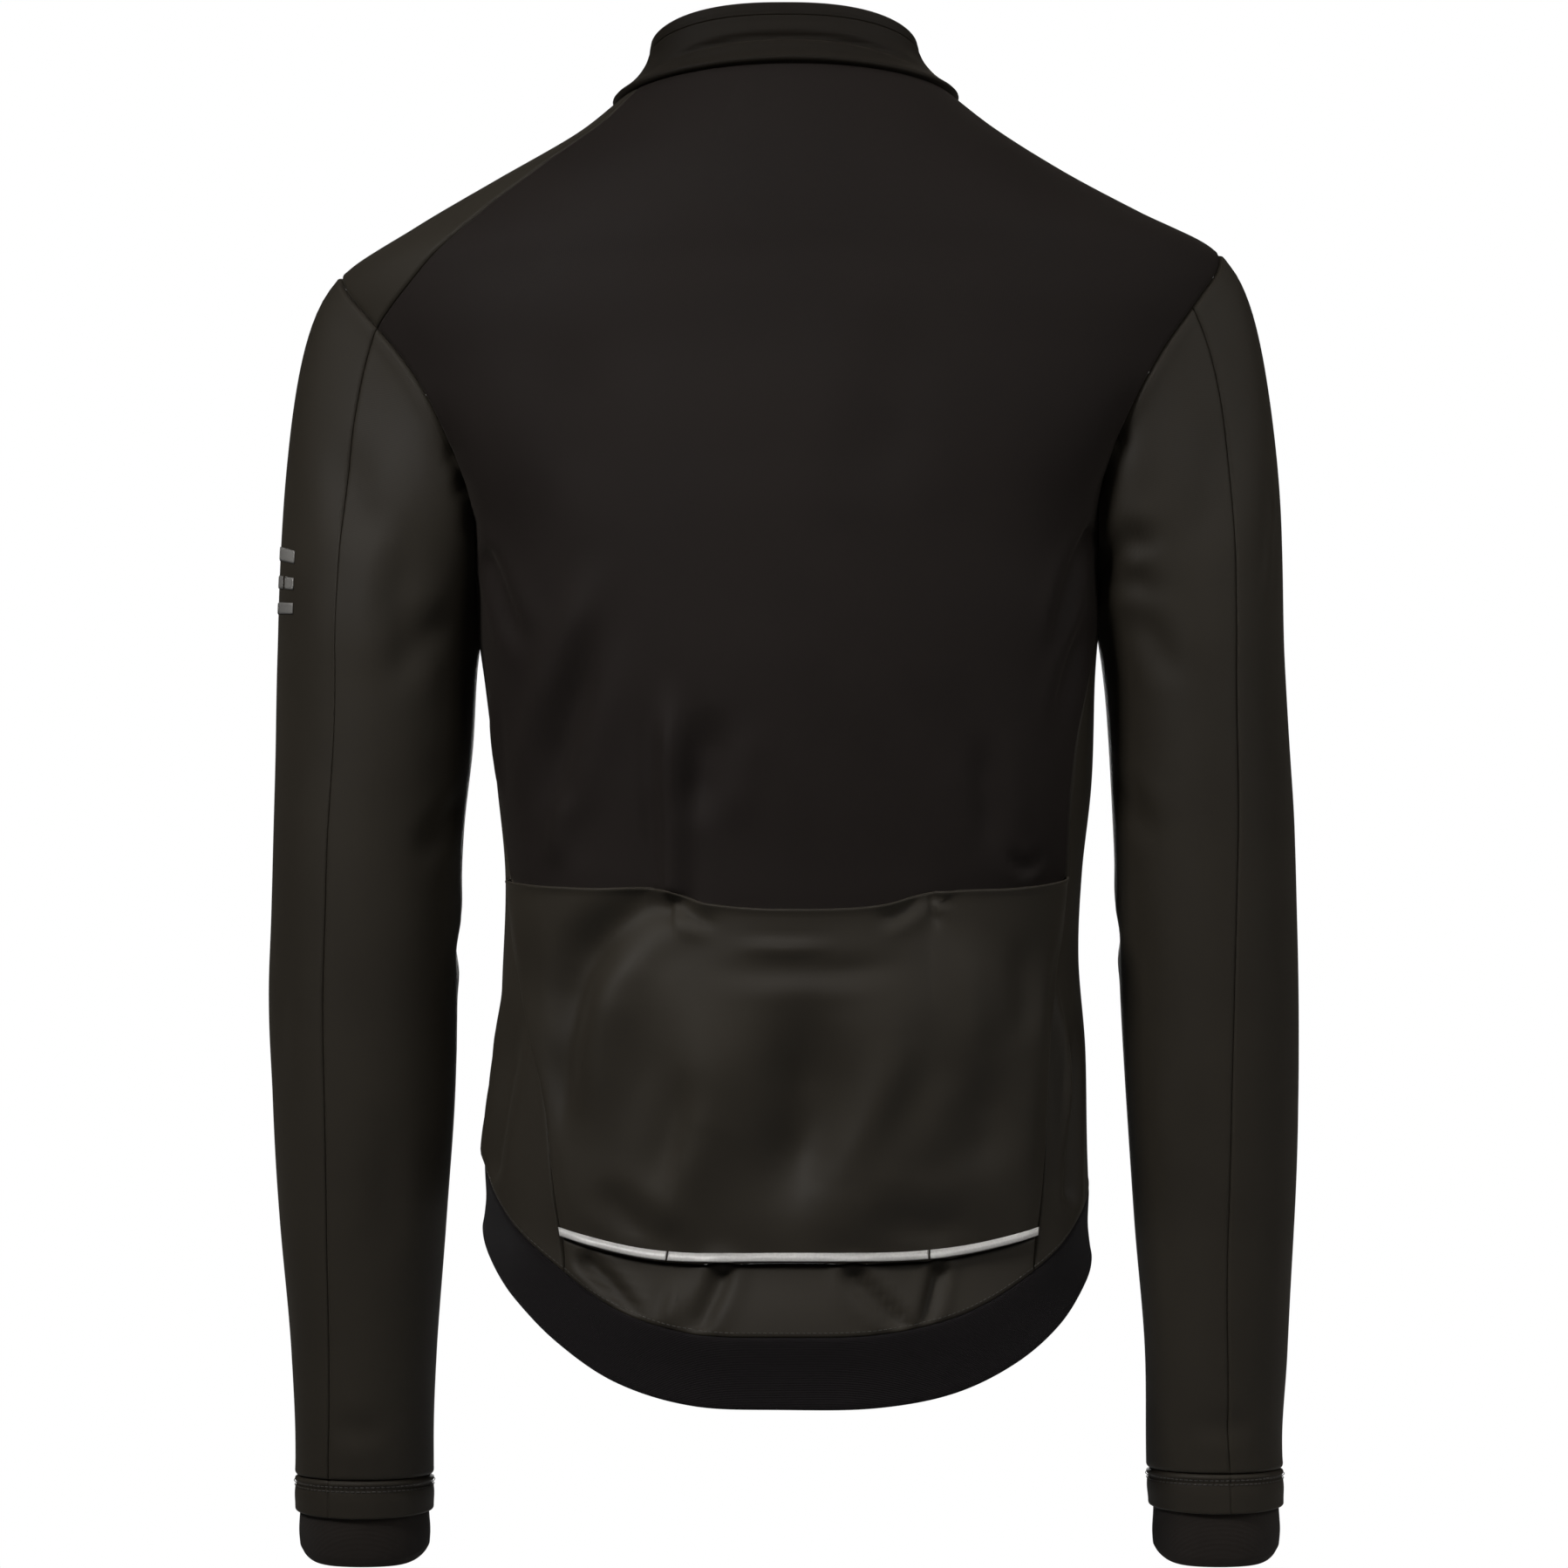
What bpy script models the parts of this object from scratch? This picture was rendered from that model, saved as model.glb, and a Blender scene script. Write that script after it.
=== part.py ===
"""Winter cycling jacket, worn shape with nobody in it: cut cloth panels, elastic bands, zip and trims.

Sizes are millimetres here and metres in the meshes. +Z is up, +Y the wearer's back, +X the wearer's left.
The origin is the centre of the neck base, level with the points where neck and shoulder meet.
The body of the jacket is one smooth form. A place on it is a turn in degrees (0 centre back, 90 the wearer's
left, -90 the right, 180 centre front) and a level, the height down from the side neck point. Every panel is
a region of that form between its seams, given a wall inwards.
"""
import math

import bmesh
import bpy
import numpy as np

MM = 0.001

# Cloth and gaps
CLOTH = 1.5            # brushed soft shell, one layer
COLLAR_CLOTH = 2.4     # collar and cuff band, two layers
HEM_CLOTH = 2.0        # elastic hem band
CUFF_ELASTIC = 1.8
BINDING_CLOTH = 2.6
TAPE_FILM = 0.5        # reflective tape
SEAM_GAP = 0.3         # between neighbouring pieces
REST_GAP = 0.6         # under a piece that lies on another

# Armhole: an oval in turn and level, from the shoulder tip round the back of the arm
ARMHOLE_TOP = 86.0
ARMHOLE_BOTTOM = 239.0
ARMHOLE_BACK_REACH = 31.5
ARMHOLE_FRONT_REACH = 35.0
SIDE_PANEL_HALF = 22.0     # the side panel's share of the armhole, degrees each side of its lowest point
YOKE_ENDS = {1: 57.0, -1: 13.0}        # where the yoke seam meets the armhole, degrees from the tip
SLEEVE_SEAM_START = 57.0   # where the sleeve's own seam does

BINDING_START = 80.0   # per cent of the collar's height below its binding

# Sleeve
CAP_DROP = 165.0       # the armhole's own mean drop
BICEPS_DROP = 291.0
SLEEVE_END_DROP = 726.0
BAND_DROPS = (726.0, 735.0, 744.0)
ELASTIC_DROPS = (736.0, 755.0, 767.0, 771.0)
ELASTIC_INSETS = (3.1, 3.3, 3.3, 4.6)
CAP_FULLNESS = 0.8     # length of the cap's first stretch, of the way to the biceps
CAP_FLATTENING = 0.18  # how much less of it at the shoulder tip

# Pockets
DIVIDER_TURNS = (20.5, -25.5)
POUCH = 8.5            # how far each mouth stands open
POCKET_TAPE_WIDTH = 4.6

# Front zip
FRONT_EDGE = 4.5       # half the slot between the fronts
CHAIN_HALF = 2.0
TAPE_INNER = 2.3
TAPE_OUTER = 15.0
TAPE_INSET = 3.1
TAPE_CLOTH = 1.0
CHAIN_INSET = 1.0
CHAIN_DEPTH = 2.4
ZIP_BOX = (8.0, 9.0, 4.2)      # width, height, depth
SLIDER_WIDTH = 7.6
SLIDER_HEIGHT = 11.0
BRIDGE_WIDTH = 2.2
TAB_WIDTH = 7.0
TAB_LENGTH = 27.0
TAB_DEPTH = 1.2

# Reflective bars on the left sleeve
BAR_DROPS = (253.0, 261.5, 270.0)
BAR_HEIGHT = 4.0
BAR_TURNS = (-34.0, 38.0)

COLOURS = {
    "olive": (0.030, 0.027, 0.020),
    "black": (0.014, 0.013, 0.012),
    "elastic": (0.008, 0.007, 0.007),
    "reflective": (0.50, 0.50, 0.50),
    "zip": (0.010, 0.010, 0.010),
}
ROUGHNESS = {"olive": 0.75, "black": 0.78, "elastic": 0.85, "reflective": 0.45, "zip": 0.5}


def table(columns, *rows):
    """A table with named columns, one row for each section."""
    return dict(zip(columns.split(), np.array(rows, float).T))


BODY = table(
    "level left right back front back_rise front_rise lean round tip",
    (0, 87, 89, 50, 70, 17, -47, 1.3, 2.0, 2.0),
    (20, 113, 114, 63, 79, 17, -43, 2.0, 2.05, 1.9),
    (43, 157, 151, 76, 89, 16, -38, 3.0, 2.1, 1.75),
    (65, 198, 191, 85, 98, 15, -32, 4.5, 2.15, 1.65),
    (86, 233, 229, 91, 104, 14.5, -27, 6.0, 2.15, 1.6),
    (100, 240, 238, 94, 107, 14, -24, 6.0, 2.15, 1.6),
    (115, 237, 237, 98, 110, 13, -21, 6.0, 2.2, 1.65),
    (145, 222, 225, 104, 116, 11, -15, 6.0, 2.2, 1.8),
    (175, 204, 207, 110, 119, 9, -11, 6.0, 2.2, 2.0),
    (196, 188, 191, 113, 121, 7, -8, 6.0, 2.25, 2.15),
    (219, 172, 175, 116, 122, 5, -5, 6.0, 2.25, 2.25),
    (239, 163, 166, 117, 122, 4, -3, 6.0, 2.3, 2.3),
    (285, 159, 164, 117, 120, 0, 0, 4.0, 2.3, 2.3),
    (360, 151, 162, 111, 113, 0, 0, 0, 2.25, 2.25),
    (406, 147, 157, 106, 108, 0, 0, 0, 2.25, 2.25),
    (450, 148, 155, 104, 106, 0, 0, 0, 2.2, 2.2),
    (498, 151, 159, 106, 107, 0, 0, 0, 2.2, 2.2),
    (560, 157.5, 160, 110, 109, 0, 0, 0, 2.2, 2.2),
    (620, 159, 161.5, 114, 110, 0, 0, 0, 2.2, 2.2),
    (700, 157, 160, 117, 111, 0, 0, 0, 2.2, 2.2),
)
COLLAR = table(
    "rise side side_height back back_height front front_height round",
    (0, 88, 0, 50, 17, 70, -47, 2.0),
    (12, 85.5, 5, 48.5, 21, 69, -41, 2.05),
    (25, 80.5, 10, 46, 26, 68, -35, 2.15),
    (45, 75.5, 16, 42.5, 32, 65.5, -26, 2.25),
    (75, 71.5, 24, 39, 41, 62.5, -13, 2.4),
    (100, 69.5, 31.5, 37, 49, 60, -2, 2.45),
)
SLEEVE = table(
    "drop left_inner left_outer right_inner right_outer forward depth tilt",
    (291, 162.5, 267, 168, 264, 2, 64, 0),
    (337, 164, 268, 171, 266, 1, 62, 0),
    (383, 169, 269.5, 173.5, 269, 0, 59, 1),
    (429, 170.8, 270.2, 175.8, 270.7, 0, 56, 1),
    (475, 172.2, 271.5, 177.7, 271.5, 2, 53, 2),
    (521, 174.1, 270.4, 180.1, 271.6, 5, 50, 3),
    (590, 178.5, 266.4, 185.5, 270.1, 11, 46, 3),
    (660, 183.9, 261.1, 190.8, 266.5, 17, 41.5, 2),
    (707, 186, 259.4, 192.1, 264.3, 21, 38.5, -2),
    (726, 186, 259.6, 192.6, 265.2, 23, 37.5, -3.4),
    (744, 185.7, 260.2, 193.2, 266.1, 25, 37, 0),
    (775, 185.4, 260, 193.2, 266, 28, 36.5, 0),
)
YOKE = {
    1: table("level turn", (0, 60), (40, 52.5), (62, 51), (84, 49.5), (102, 53.5)),
    -1: table("level turn", (0, 84), (40, 80)),
}
BACK_SEAM = table(
    "level left right",
    (287, 84, 80), (330, 85, 69), (365, 84, 66), (408, 77, 68), (432, 70, 67), (458, 63, 62), (495, 56, 58),
    (525, 51, 56.7), (566, 47, 55), (595, 45.5, 53.3), (640, 45, 52),
)
FRONT_SEAM = table("level left right", (290, 103, 103), (400, 104, 104), (600, 107, 107))
SLEEVE_SEAM = {
    1: table("drop turn", (165, 57), (215, 63), (292, 70), (359, 70), (449, 68.5), (539, 69), (632, 66), (726, 62)),
    -1: table("drop turn", (165, 57), (207, 59), (251, 62.5), (292, 66.5), (359, 70.5), (449, 77), (539, 81.5),
              (631, 85), (679, 83), (726, 80.5)),
}
HEM = table(
    "turn level height",
    (-180, 545, 38), (-120, 556, 38), (-90, 569, 39), (-75, 582, 39), (-61, 600, 39.5), (-46, 618, 39),
    (-31, 632, 38.5), (-15, 640, 37), (0, 641, 36.5), (15, 639.5, 36.5), (31, 628, 37), (46, 609, 37),
    (61, 588, 36.5), (75, 570, 36), (90, 557, 36), (120, 549, 37), (180, 545, 38),
)
POCKET_TOP = table(
    "turn level",
    (-70, 406), (-44, 411), (-25.5, 414), (-17, 419), (-3, 421.5), (13, 418), (20.5, 412), (40, 411), (78, 408),
)
POCKET_FOOT = table("turn level", (-54, 592.5), (-28, 602), (0, 603), (23, 602.5), (46, 592))


def through(rows, key, name, at):
    """Smooth curve through one column of a table: cubic pieces, each knot's slope the mean of its neighbours'."""
    knots, values = rows[key], rows[name]
    slope = np.gradient(values, knots)
    at = np.clip(at, knots[0], knots[-1])
    i = np.clip(np.searchsorted(knots, at) - 1, 0, len(knots) - 2)
    span = knots[i + 1] - knots[i]
    t = (at - knots[i]) / span
    start = (2 * t**3 - 3 * t**2 + 1) * values[i] + (t**3 - 2 * t**2 + t) * span * slope[i]
    end = (3 * t**2 - 2 * t**3) * values[i + 1] + (t**3 - t**2) * span * slope[i + 1]
    return start + end


def side_name(side):
    return "left" if side > 0 else "right"


def oval(turn, left, right, back, front, squareness, tip):
    """Where a squarish oval passes at this turn: its x and y. A low tip draws its two sides out to a ridge."""
    across, along = np.sin(np.radians(turn)), np.cos(np.radians(turn))
    x = np.where(across >= 0, left, right) * np.sign(across) * np.abs(across) ** (2.0 / squareness)
    y = np.where(along >= 0, back, front) * np.sign(along) * np.abs(along) ** (2.0 / tip)
    return x, y


def blend_height(turn, side, back, front):
    """Height round a tilted ring: the side's height, drawn to the back's and the front's away from the sides."""
    along = np.cos(np.radians(turn))
    return side + (np.where(along >= 0, back, front) - side) * np.abs(along) ** 1.2


def body_point(place):
    """The body form: place holds (turn, level) pairs."""
    turn, level = place[..., 0], place[..., 1]
    row = {name: through(BODY, "level", name, level) for name in BODY if name != "level"}
    x, y = oval(turn, row["left"], row["right"], row["back"], row["front"], row["round"], row["tip"])
    z = blend_height(turn, -level, row["back_rise"] - level, row["front_rise"] - level)
    return np.stack([x, y, z - row["lean"] * np.sin(np.radians(turn))], -1)


def collar_point(place):
    """The collar form: place holds (turn, rise) pairs, rise 0 at the neck seam and 100 at the top edge."""
    turn, rise = place[..., 0], place[..., 1]
    row = {name: through(COLLAR, "rise", name, rise) for name in COLLAR if name != "rise"}
    fade = 1 - rise / 100
    x, y = oval(turn, row["side"] - fade, row["side"] + fade, row["back"], row["front"], row["round"], row["round"])
    z = blend_height(turn, row["side_height"], row["back_height"], row["front_height"])
    return np.stack([x, y, z - BODY["lean"][0] * fade * np.sin(np.radians(turn))], -1)


def armhole(side, around):
    """The armhole's (turn, level) at this angle from the shoulder tip, positive round the back."""
    angle = np.radians(around)
    reach = np.where(np.sin(angle) >= 0, ARMHOLE_BACK_REACH, ARMHOLE_FRONT_REACH)
    middle = (ARMHOLE_TOP + ARMHOLE_BOTTOM) / 2
    half = (ARMHOLE_BOTTOM - ARMHOLE_TOP) / 2
    return np.stack([side * (90 - reach * np.sin(angle)), middle - half * np.cos(angle)], -1)


def arm_ring(side, around, drop):
    """The sleeve below the biceps: ovals across the arm, tilted as the forearm reaches forward."""
    name = side_name(side)
    inner = through(SLEEVE, "drop", name + "_inner", drop)
    outer = through(SLEEVE, "drop", name + "_outer", drop)
    forward = through(SLEEVE, "drop", "forward", drop)
    depth = through(SLEEVE, "drop", "depth", drop)
    tilt = np.radians(through(SLEEVE, "drop", "tilt", drop))
    angle = np.radians(around)
    x = side * ((inner + outer) / 2 + (outer - inner) / 2 * np.cos(angle))
    y = depth * np.sin(angle) * np.cos(tilt) - forward
    return np.stack([x, y, -drop - depth * np.sin(angle) * np.sin(tilt)], -1)


def sleeve_point(side):
    """The sleeve form of one arm: a function of (around, drop) pairs.

    Above the biceps a cubic runs from the armhole to the biceps ring; it leaves the armhole outwards and down.
    """
    def point(place):
        around, drop = place[..., 0], place[..., 1]
        low = arm_ring(side, around, np.maximum(drop, BICEPS_DROP))
        start = body_point(armhole(side, around))
        end = arm_ring(side, around, np.full_like(drop, BICEPS_DROP))
        end_speed = arm_ring(side, around, np.full_like(drop, BICEPS_DROP + 1)) - end
        reach = np.linalg.norm(end - start, axis=-1, keepdims=True)
        top = np.maximum(np.cos(np.radians(around)), 0)
        outward = 0.30 + 0.50 * top
        leave = np.stack([side * outward, -0.05 * np.sin(np.radians(around)), outward - 1.42], -1)
        leave = leave / np.linalg.norm(leave, axis=-1, keepdims=True) * reach
        leave = leave * (CAP_FULLNESS - CAP_FLATTENING * top)[..., None]
        t = np.clip((drop - CAP_DROP) / (BICEPS_DROP - CAP_DROP), 0, 1)[..., None]
        cap = (2 * t**3 - 3 * t**2 + 1) * start + (t**3 - 2 * t**2 + t) * leave
        cap = cap + (3 * t**2 - 2 * t**3) * end + (t**3 - t**2) * end_speed * (BICEPS_DROP - CAP_DROP)
        return np.where(drop[..., None] < BICEPS_DROP, cap, low)
    return point


def normal_of(form, place, across=0.5, down=0.5):
    """Unit normal of a form, from small steps in its two parameters."""
    step_a = form(place + [across, 0]) - form(place - [across, 0])
    step_b = form(place + [0, down]) - form(place - [0, down])
    normal = np.cross(step_a, step_b)
    return normal / np.maximum(np.linalg.norm(normal, axis=-1, keepdims=True), 1e-9)


def patch(top, bottom, left, right):
    """Fill four edges of places: rows run from left to right, bent to follow the top and bottom edges."""
    p = np.linspace(0, 1, len(top))[None, :, None]
    q = np.linspace(0, 1, len(left))[:, None, None]
    edges = (1 - q) * top[None] + q * bottom[None] + (1 - p) * left[:, None] + p * right[:, None]
    corners = (1 - p) * ((1 - q) * left[0] + q * left[-1]) + p * ((1 - q) * right[0] + q * right[-1])
    return edges - corners


def spread(start, end, steps):
    return np.linspace(start, end, steps + 1)


def join(*runs):
    """One run of places from several that share their end places."""
    return np.concatenate([runs[0]] + [run[1:] for run in runs[1:]])


def level_edge(turns, level):
    """Places along an edge whose level is a number or a function of the turn."""
    levels = level(turns) if callable(level) else np.full(len(turns), float(level))
    return np.stack([turns, levels], -1)


def hem_level(turn):
    return through(HEM, "turn", "level", turn)


def pocket_top(turn):
    return through(POCKET_TOP, "turn", "level", turn)


def pocket_foot(turn):
    return through(POCKET_FOOT, "turn", "level", turn)


def trimmed(points, sides):
    """Draw the named edges of a grid half a seam gap towards the grid."""
    points = points.copy()
    inner = points.copy()

    def draw(edge, neighbour):
        away = inner[neighbour] - inner[edge]
        points[edge] += away / np.linalg.norm(away, axis=-1, keepdims=True) * SEAM_GAP / 2

    if "top" in sides:
        draw(np.s_[0, :], np.s_[1, :])
    if "bottom" in sides:
        draw(np.s_[-1, :], np.s_[-2, :])
    if "left" in sides:
        draw(np.s_[:, 0], np.s_[:, 1])
    if "right" in sides:
        draw(np.s_[:, -1], np.s_[:, -2])
    return points


def body_axis(points):
    """The upright middle of the body, level with each point."""
    return points * [0, 0, 1]


def cloth_grid(form, place, sides="top bottom left right", out=0.0, axis=body_axis):
    """Outer points and outward normals of a grid of places; out moves it off the form, a number or a grid."""
    points, normals = form(place), normal_of(form, place)
    if np.sum(normals * (points - axis(points))) < 0:
        normals = -normals
    points = points + normals * np.broadcast_to(out, place.shape[:-1])[..., None]
    return trimmed(points, sides), normals


def material(name, finish):
    made = bpy.data.materials.new(name)
    made.use_nodes = True
    shader = made.node_tree.nodes["Principled BSDF"]
    shader.inputs["Base Color"].default_value = (*COLOURS[finish], 1.0)
    shader.inputs["Roughness"].default_value = ROUGHNESS[finish]
    shader.inputs["Metallic"].default_value = 0.3 if finish == "zip" else 0.0
    return made


def add_object(name, mesh, finish):
    part = bpy.data.objects.new(name, mesh)
    mesh.materials.append(material(name, finish))
    bpy.context.collection.objects.link(part)
    return part


def wall(name, grids, thickness, finish):
    """A closed wall: the grids welded into one outer skin, its copy moved inwards, and a rim round every edge."""
    points, normals, quads, count = [], [], [], 0
    for grid, normal in grids:
        rows, columns = grid.shape[:2]
        index = np.arange(rows * columns).reshape(rows, columns) + count
        quad = np.stack([index[:-1, :-1], index[:-1, 1:], index[1:, 1:], index[1:, :-1]], -1).reshape(-1, 4)
        first, second = grid[1, 1] - grid[0, 0], grid[1, 0] - grid[0, 1]
        if np.dot(np.cross(first, second), normal[0, 0]) < 0:
            quad = quad[:, ::-1]
        points.append(grid.reshape(-1, 3))
        normals.append(normal.reshape(-1, 3))
        quads.append(quad)
        count += rows * columns
    points, normals, quads = np.concatenate(points), np.concatenate(normals), np.concatenate(quads)
    _, first, same = np.unique(np.round(points, 3), axis=0, return_index=True, return_inverse=True)
    points, normals, quads = points[first], normals[first], same.reshape(-1)[quads]
    skin = len(points)
    sides = np.concatenate([quads[:, [i, (i + 1) % 4]] for i in range(4)])
    used = {tuple(edge) for edge in sides.tolist()}
    rim = np.array([edge for edge in sides.tolist() if (edge[1], edge[0]) not in used])
    rim_faces = np.stack([rim[:, 1], rim[:, 0], rim[:, 0] + skin, rim[:, 1] + skin], -1)
    faces = np.concatenate([quads, quads[:, ::-1] + skin, rim_faces])
    verts = np.concatenate([points, points - normals * thickness]) * MM
    mesh = bpy.data.meshes.new(name)
    mesh.from_pydata(verts.tolist(), [], faces.tolist())
    mesh.validate()
    return add_object(name, mesh, finish)


# Seams, as runs of places

def yoke_run(side, steps):
    """The seam behind the shoulder, from the neck to the armhole."""
    end = armhole(side, YOKE_ENDS[side])
    rows = {"level": np.append(YOKE[side]["level"], end[1]), "turn": np.append(YOKE[side]["turn"], abs(end[0]))}
    levels = spread(0, end[1], steps)
    return np.stack([side * through(rows, "level", "turn", levels), levels], -1)


def shoulder_run(side, steps):
    return level_run(side * 90.0, spread(0, ARMHOLE_TOP, steps))


def level_run(turn, levels):
    return np.stack([np.full(len(levels), turn), levels], -1)


def seam_run(side, rows, start_around, end_level, steps):
    """A side seam, from its place on the armhole down to a line round the body."""
    start = armhole(side, start_around)
    turns = np.append(abs(start[0]), rows[side_name(side)])
    knots = {"level": np.append(start[1], rows["level"]), "turn": turns}
    end = LOWEST_LEVEL
    for _ in range(3):
        end = end_level(side * through(knots, "level", "turn", end))
    levels = spread(start[1], end, steps)
    return np.stack([side * through(knots, "level", "turn", levels), levels], -1)


LOWEST_LEVEL = 600.0       # a first guess at where a side seam ends
ARMHOLE_STEPS = 7          # from the sleeve seam round the back to the side panel
BACK_STEPS = 5             # from the armhole down to the pocket mouth
YOKE_STEPS = {1: 8, -1: 6}
YOKE_WIDTH_STEPS = {1: 3, -1: 1}
SLEEVE_SEAM_SHARE = {1: 0, -1: 2}
FOOT_STEPS = 6             # from the mouth to the pocket foot
FOOT_LEVEL_STEPS = 2       # and on to the hem
POCKET_COLUMNS = 4
BACK_COLUMNS = 3 * POCKET_COLUMNS
FRONT_COLUMNS = 6
UNDER_COLUMNS = 2          # half the side panel
CAP_STEPS = 6
ARM_STEPS = 7
RING_STEPS = 18


def armhole_back_arounds(side):
    """Angles round the armhole from the yoke seam to the side panel."""
    first = YOKE_ENDS[side]
    last = 180 - SIDE_PANEL_HALF
    if SLEEVE_SEAM_SHARE[side] == 0:
        return spread(first, last, ARMHOLE_STEPS)
    return join(spread(first, SLEEVE_SEAM_START, SLEEVE_SEAM_SHARE[side]),
                spread(SLEEVE_SEAM_START, last, ARMHOLE_STEPS))


def back_seam(side, end, steps):
    return seam_run(side, BACK_SEAM, 180 - SIDE_PANEL_HALF, end, steps)


def front_seam(side, end, steps):
    return seam_run(side, FRONT_SEAM, SIDE_PANEL_HALF - 180, end, steps)


def split_seam(side):
    """The back's side seam in three lengths: to the pocket mouth, to the pocket foot, and to the hem."""
    fine = back_seam(side, hem_level, 60)
    turns, levels = fine[:, 0], fine[:, 1]
    cuts = [levels[np.argmax(levels > line(turns))] for line in (pocket_top, pocket_foot)]
    stops = (levels[0], *cuts, levels[-1])
    lengths = []
    for low, high, steps in zip(stops[:-1], stops[1:], (BACK_STEPS, FOOT_STEPS, FOOT_LEVEL_STEPS)):
        run = spread(low, high, steps)
        lengths.append(np.stack([np.interp(run, levels, turns), run], -1))
    return lengths


def back_edge(side):
    """The back panel's side edge down to the pocket mouth: yoke seam, armhole, side seam."""
    yoke = yoke_run(side, YOKE_STEPS[side])
    hole = armhole(side, armhole_back_arounds(side))
    return yoke, hole, split_seam(side)[0]


def build_back():
    """The back panel in two grids: neck to pocket mouth, and the stretch that the pocket panel covers."""
    left, right = join(*back_edge(1)), join(*back_edge(-1))
    covered = pocket_places()
    top = level_edge(spread(left[0, 0], right[0, 0], BACK_COLUMNS), 0.0)
    upper = cloth_grid(body_point, patch(top, covered[0], left, right), "top left right")
    lower = cloth_grid(body_point, covered, "bottom left right")
    wall("back_panel", [upper, lower], CLOTH, "black")


def build_lower_back():
    left, right = split_seam(1)[2], split_seam(-1)[2]
    top = pocket_places()[-1]
    bottom = level_edge(spread(left[-1, 0], right[-1, 0], BACK_COLUMNS), hem_level)
    bottom[0], bottom[-1] = left[-1], right[-1]
    wall("lower_back_panel", [cloth_grid(body_point, patch(top, bottom, left, right))], CLOTH, "olive")


def build_side_panel(side):
    left = join(*split_seam(side))
    right = front_seam(side, hem_level, len(left) - 1)
    top = armhole(side, spread(180 - SIDE_PANEL_HALF, 180 + SIDE_PANEL_HALF, 2 * UNDER_COLUMNS))
    bottom = level_edge(spread(left[-1, 0], right[-1, 0], 2 * UNDER_COLUMNS), hem_level)
    bottom[0], bottom[-1] = left[-1], right[-1]
    place = patch(top, bottom, left, right)
    wall("side_panel_" + side_name(side), [cloth_grid(body_point, place)], CLOTH, "olive")


def front_turn(half_width, level):
    """Turn, from centre front, at which the body form is half_width from the middle."""
    width = through(BODY, "level", "left", level)
    squareness = through(BODY, "level", "round", level)
    return 180 - np.degrees(np.arcsin((half_width / width) ** (squareness / 2)))


def front_arounds():
    return -spread(0, 180 - SIDE_PANEL_HALF, ARMHOLE_STEPS + 1)


def build_front(side):
    steps = YOKE_STEPS[side]
    shoulder = shoulder_run(side, steps)
    yoke = yoke_run(side, steps)
    wedge_columns = YOKE_WIDTH_STEPS[side]
    wedge = patch(level_edge(spread(yoke[0, 0], side * 90.0, wedge_columns), 0.0),
                  armhole(side, spread(YOKE_ENDS[side], 0, wedge_columns)), yoke, shoulder)
    hole = armhole(side, front_arounds())
    seam = front_seam(side, hem_level, BACK_STEPS + FOOT_STEPS + FOOT_LEVEL_STEPS)
    left = join(shoulder, hole, seam)
    levels = left[:, 1] * hem_level(180.0) / left[-1, 1]
    right = np.stack([side * front_turn(FRONT_EDGE, levels), levels], -1)
    top = level_edge(spread(left[0, 0], right[0, 0], FRONT_COLUMNS), 0.0)
    bottom = level_edge(spread(left[-1, 0], right[-1, 0], FRONT_COLUMNS), hem_level)
    bottom[0], bottom[-1] = left[-1], right[-1]
    front = patch(top, bottom, left, right)
    # the two grids meet along the shoulder, which stays whole; below the tip the armhole is trimmed
    wedge_grid = cloth_grid(body_point, wedge, "top bottom left")
    points, normals = cloth_grid(body_point, front, "top bottom right")
    cut = trimmed(body_point(front), "left")
    points[steps + 1:, 0] = cut[steps + 1:, 0]
    points[0, 0] = wedge_grid[0][0, -1]
    points[steps, 0] = wedge_grid[0][-1, -1]
    wall("front_panel_" + side_name(side), [wedge_grid, (points, normals)], CLOTH, "olive")


def neck_turns():
    """Turns at which the pieces round the neck have their points, from centre front left round the back."""
    turns = []
    for side in (1, -1):
        yoke_turn = yoke_run(side, 1)[0, 0]
        front = spread(side * front_turn(FRONT_EDGE, 0.0), side * 90.0, FRONT_COLUMNS)
        wedge = spread(side * 90.0, yoke_turn, YOKE_WIDTH_STEPS[side])
        turns.append(join(front, wedge))
    back = spread(turns[0][-1], turns[1][-1], BACK_COLUMNS)
    return join(turns[0], back, turns[1][::-1])


def collar_front_turn(half_width, rise):
    """Turn, from centre front, at which the collar is half_width from the middle."""
    width, squareness = (through(COLLAR, "rise", name, rise) for name in ("side", "round"))
    return 180 - np.degrees(np.arcsin((half_width / width) ** (squareness / 2)))


def collar_places(turns, rises):
    """Places on the collar, with straight front ends at the zip."""
    place = np.stack(np.broadcast_arrays(turns[None, :], rises[:, None]), -1).copy()
    place[:, 0, 0] = collar_front_turn(FRONT_EDGE, rises)
    place[:, -1, 0] = -place[:, 0, 0]
    return place


def build_collar():
    turns = neck_turns()
    stand = collar_places(turns, np.array([0.0, 15.0, 40.0, BINDING_START]))
    wall("collar", [cloth_grid(collar_point, stand, "top bottom")], COLLAR_CLOTH, "olive")
    binding = collar_places(turns, np.array([BINDING_START, 100.0]))
    wall("collar_binding", [cloth_grid(collar_point, binding, "top")], BINDING_CLOTH, "olive")


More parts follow.
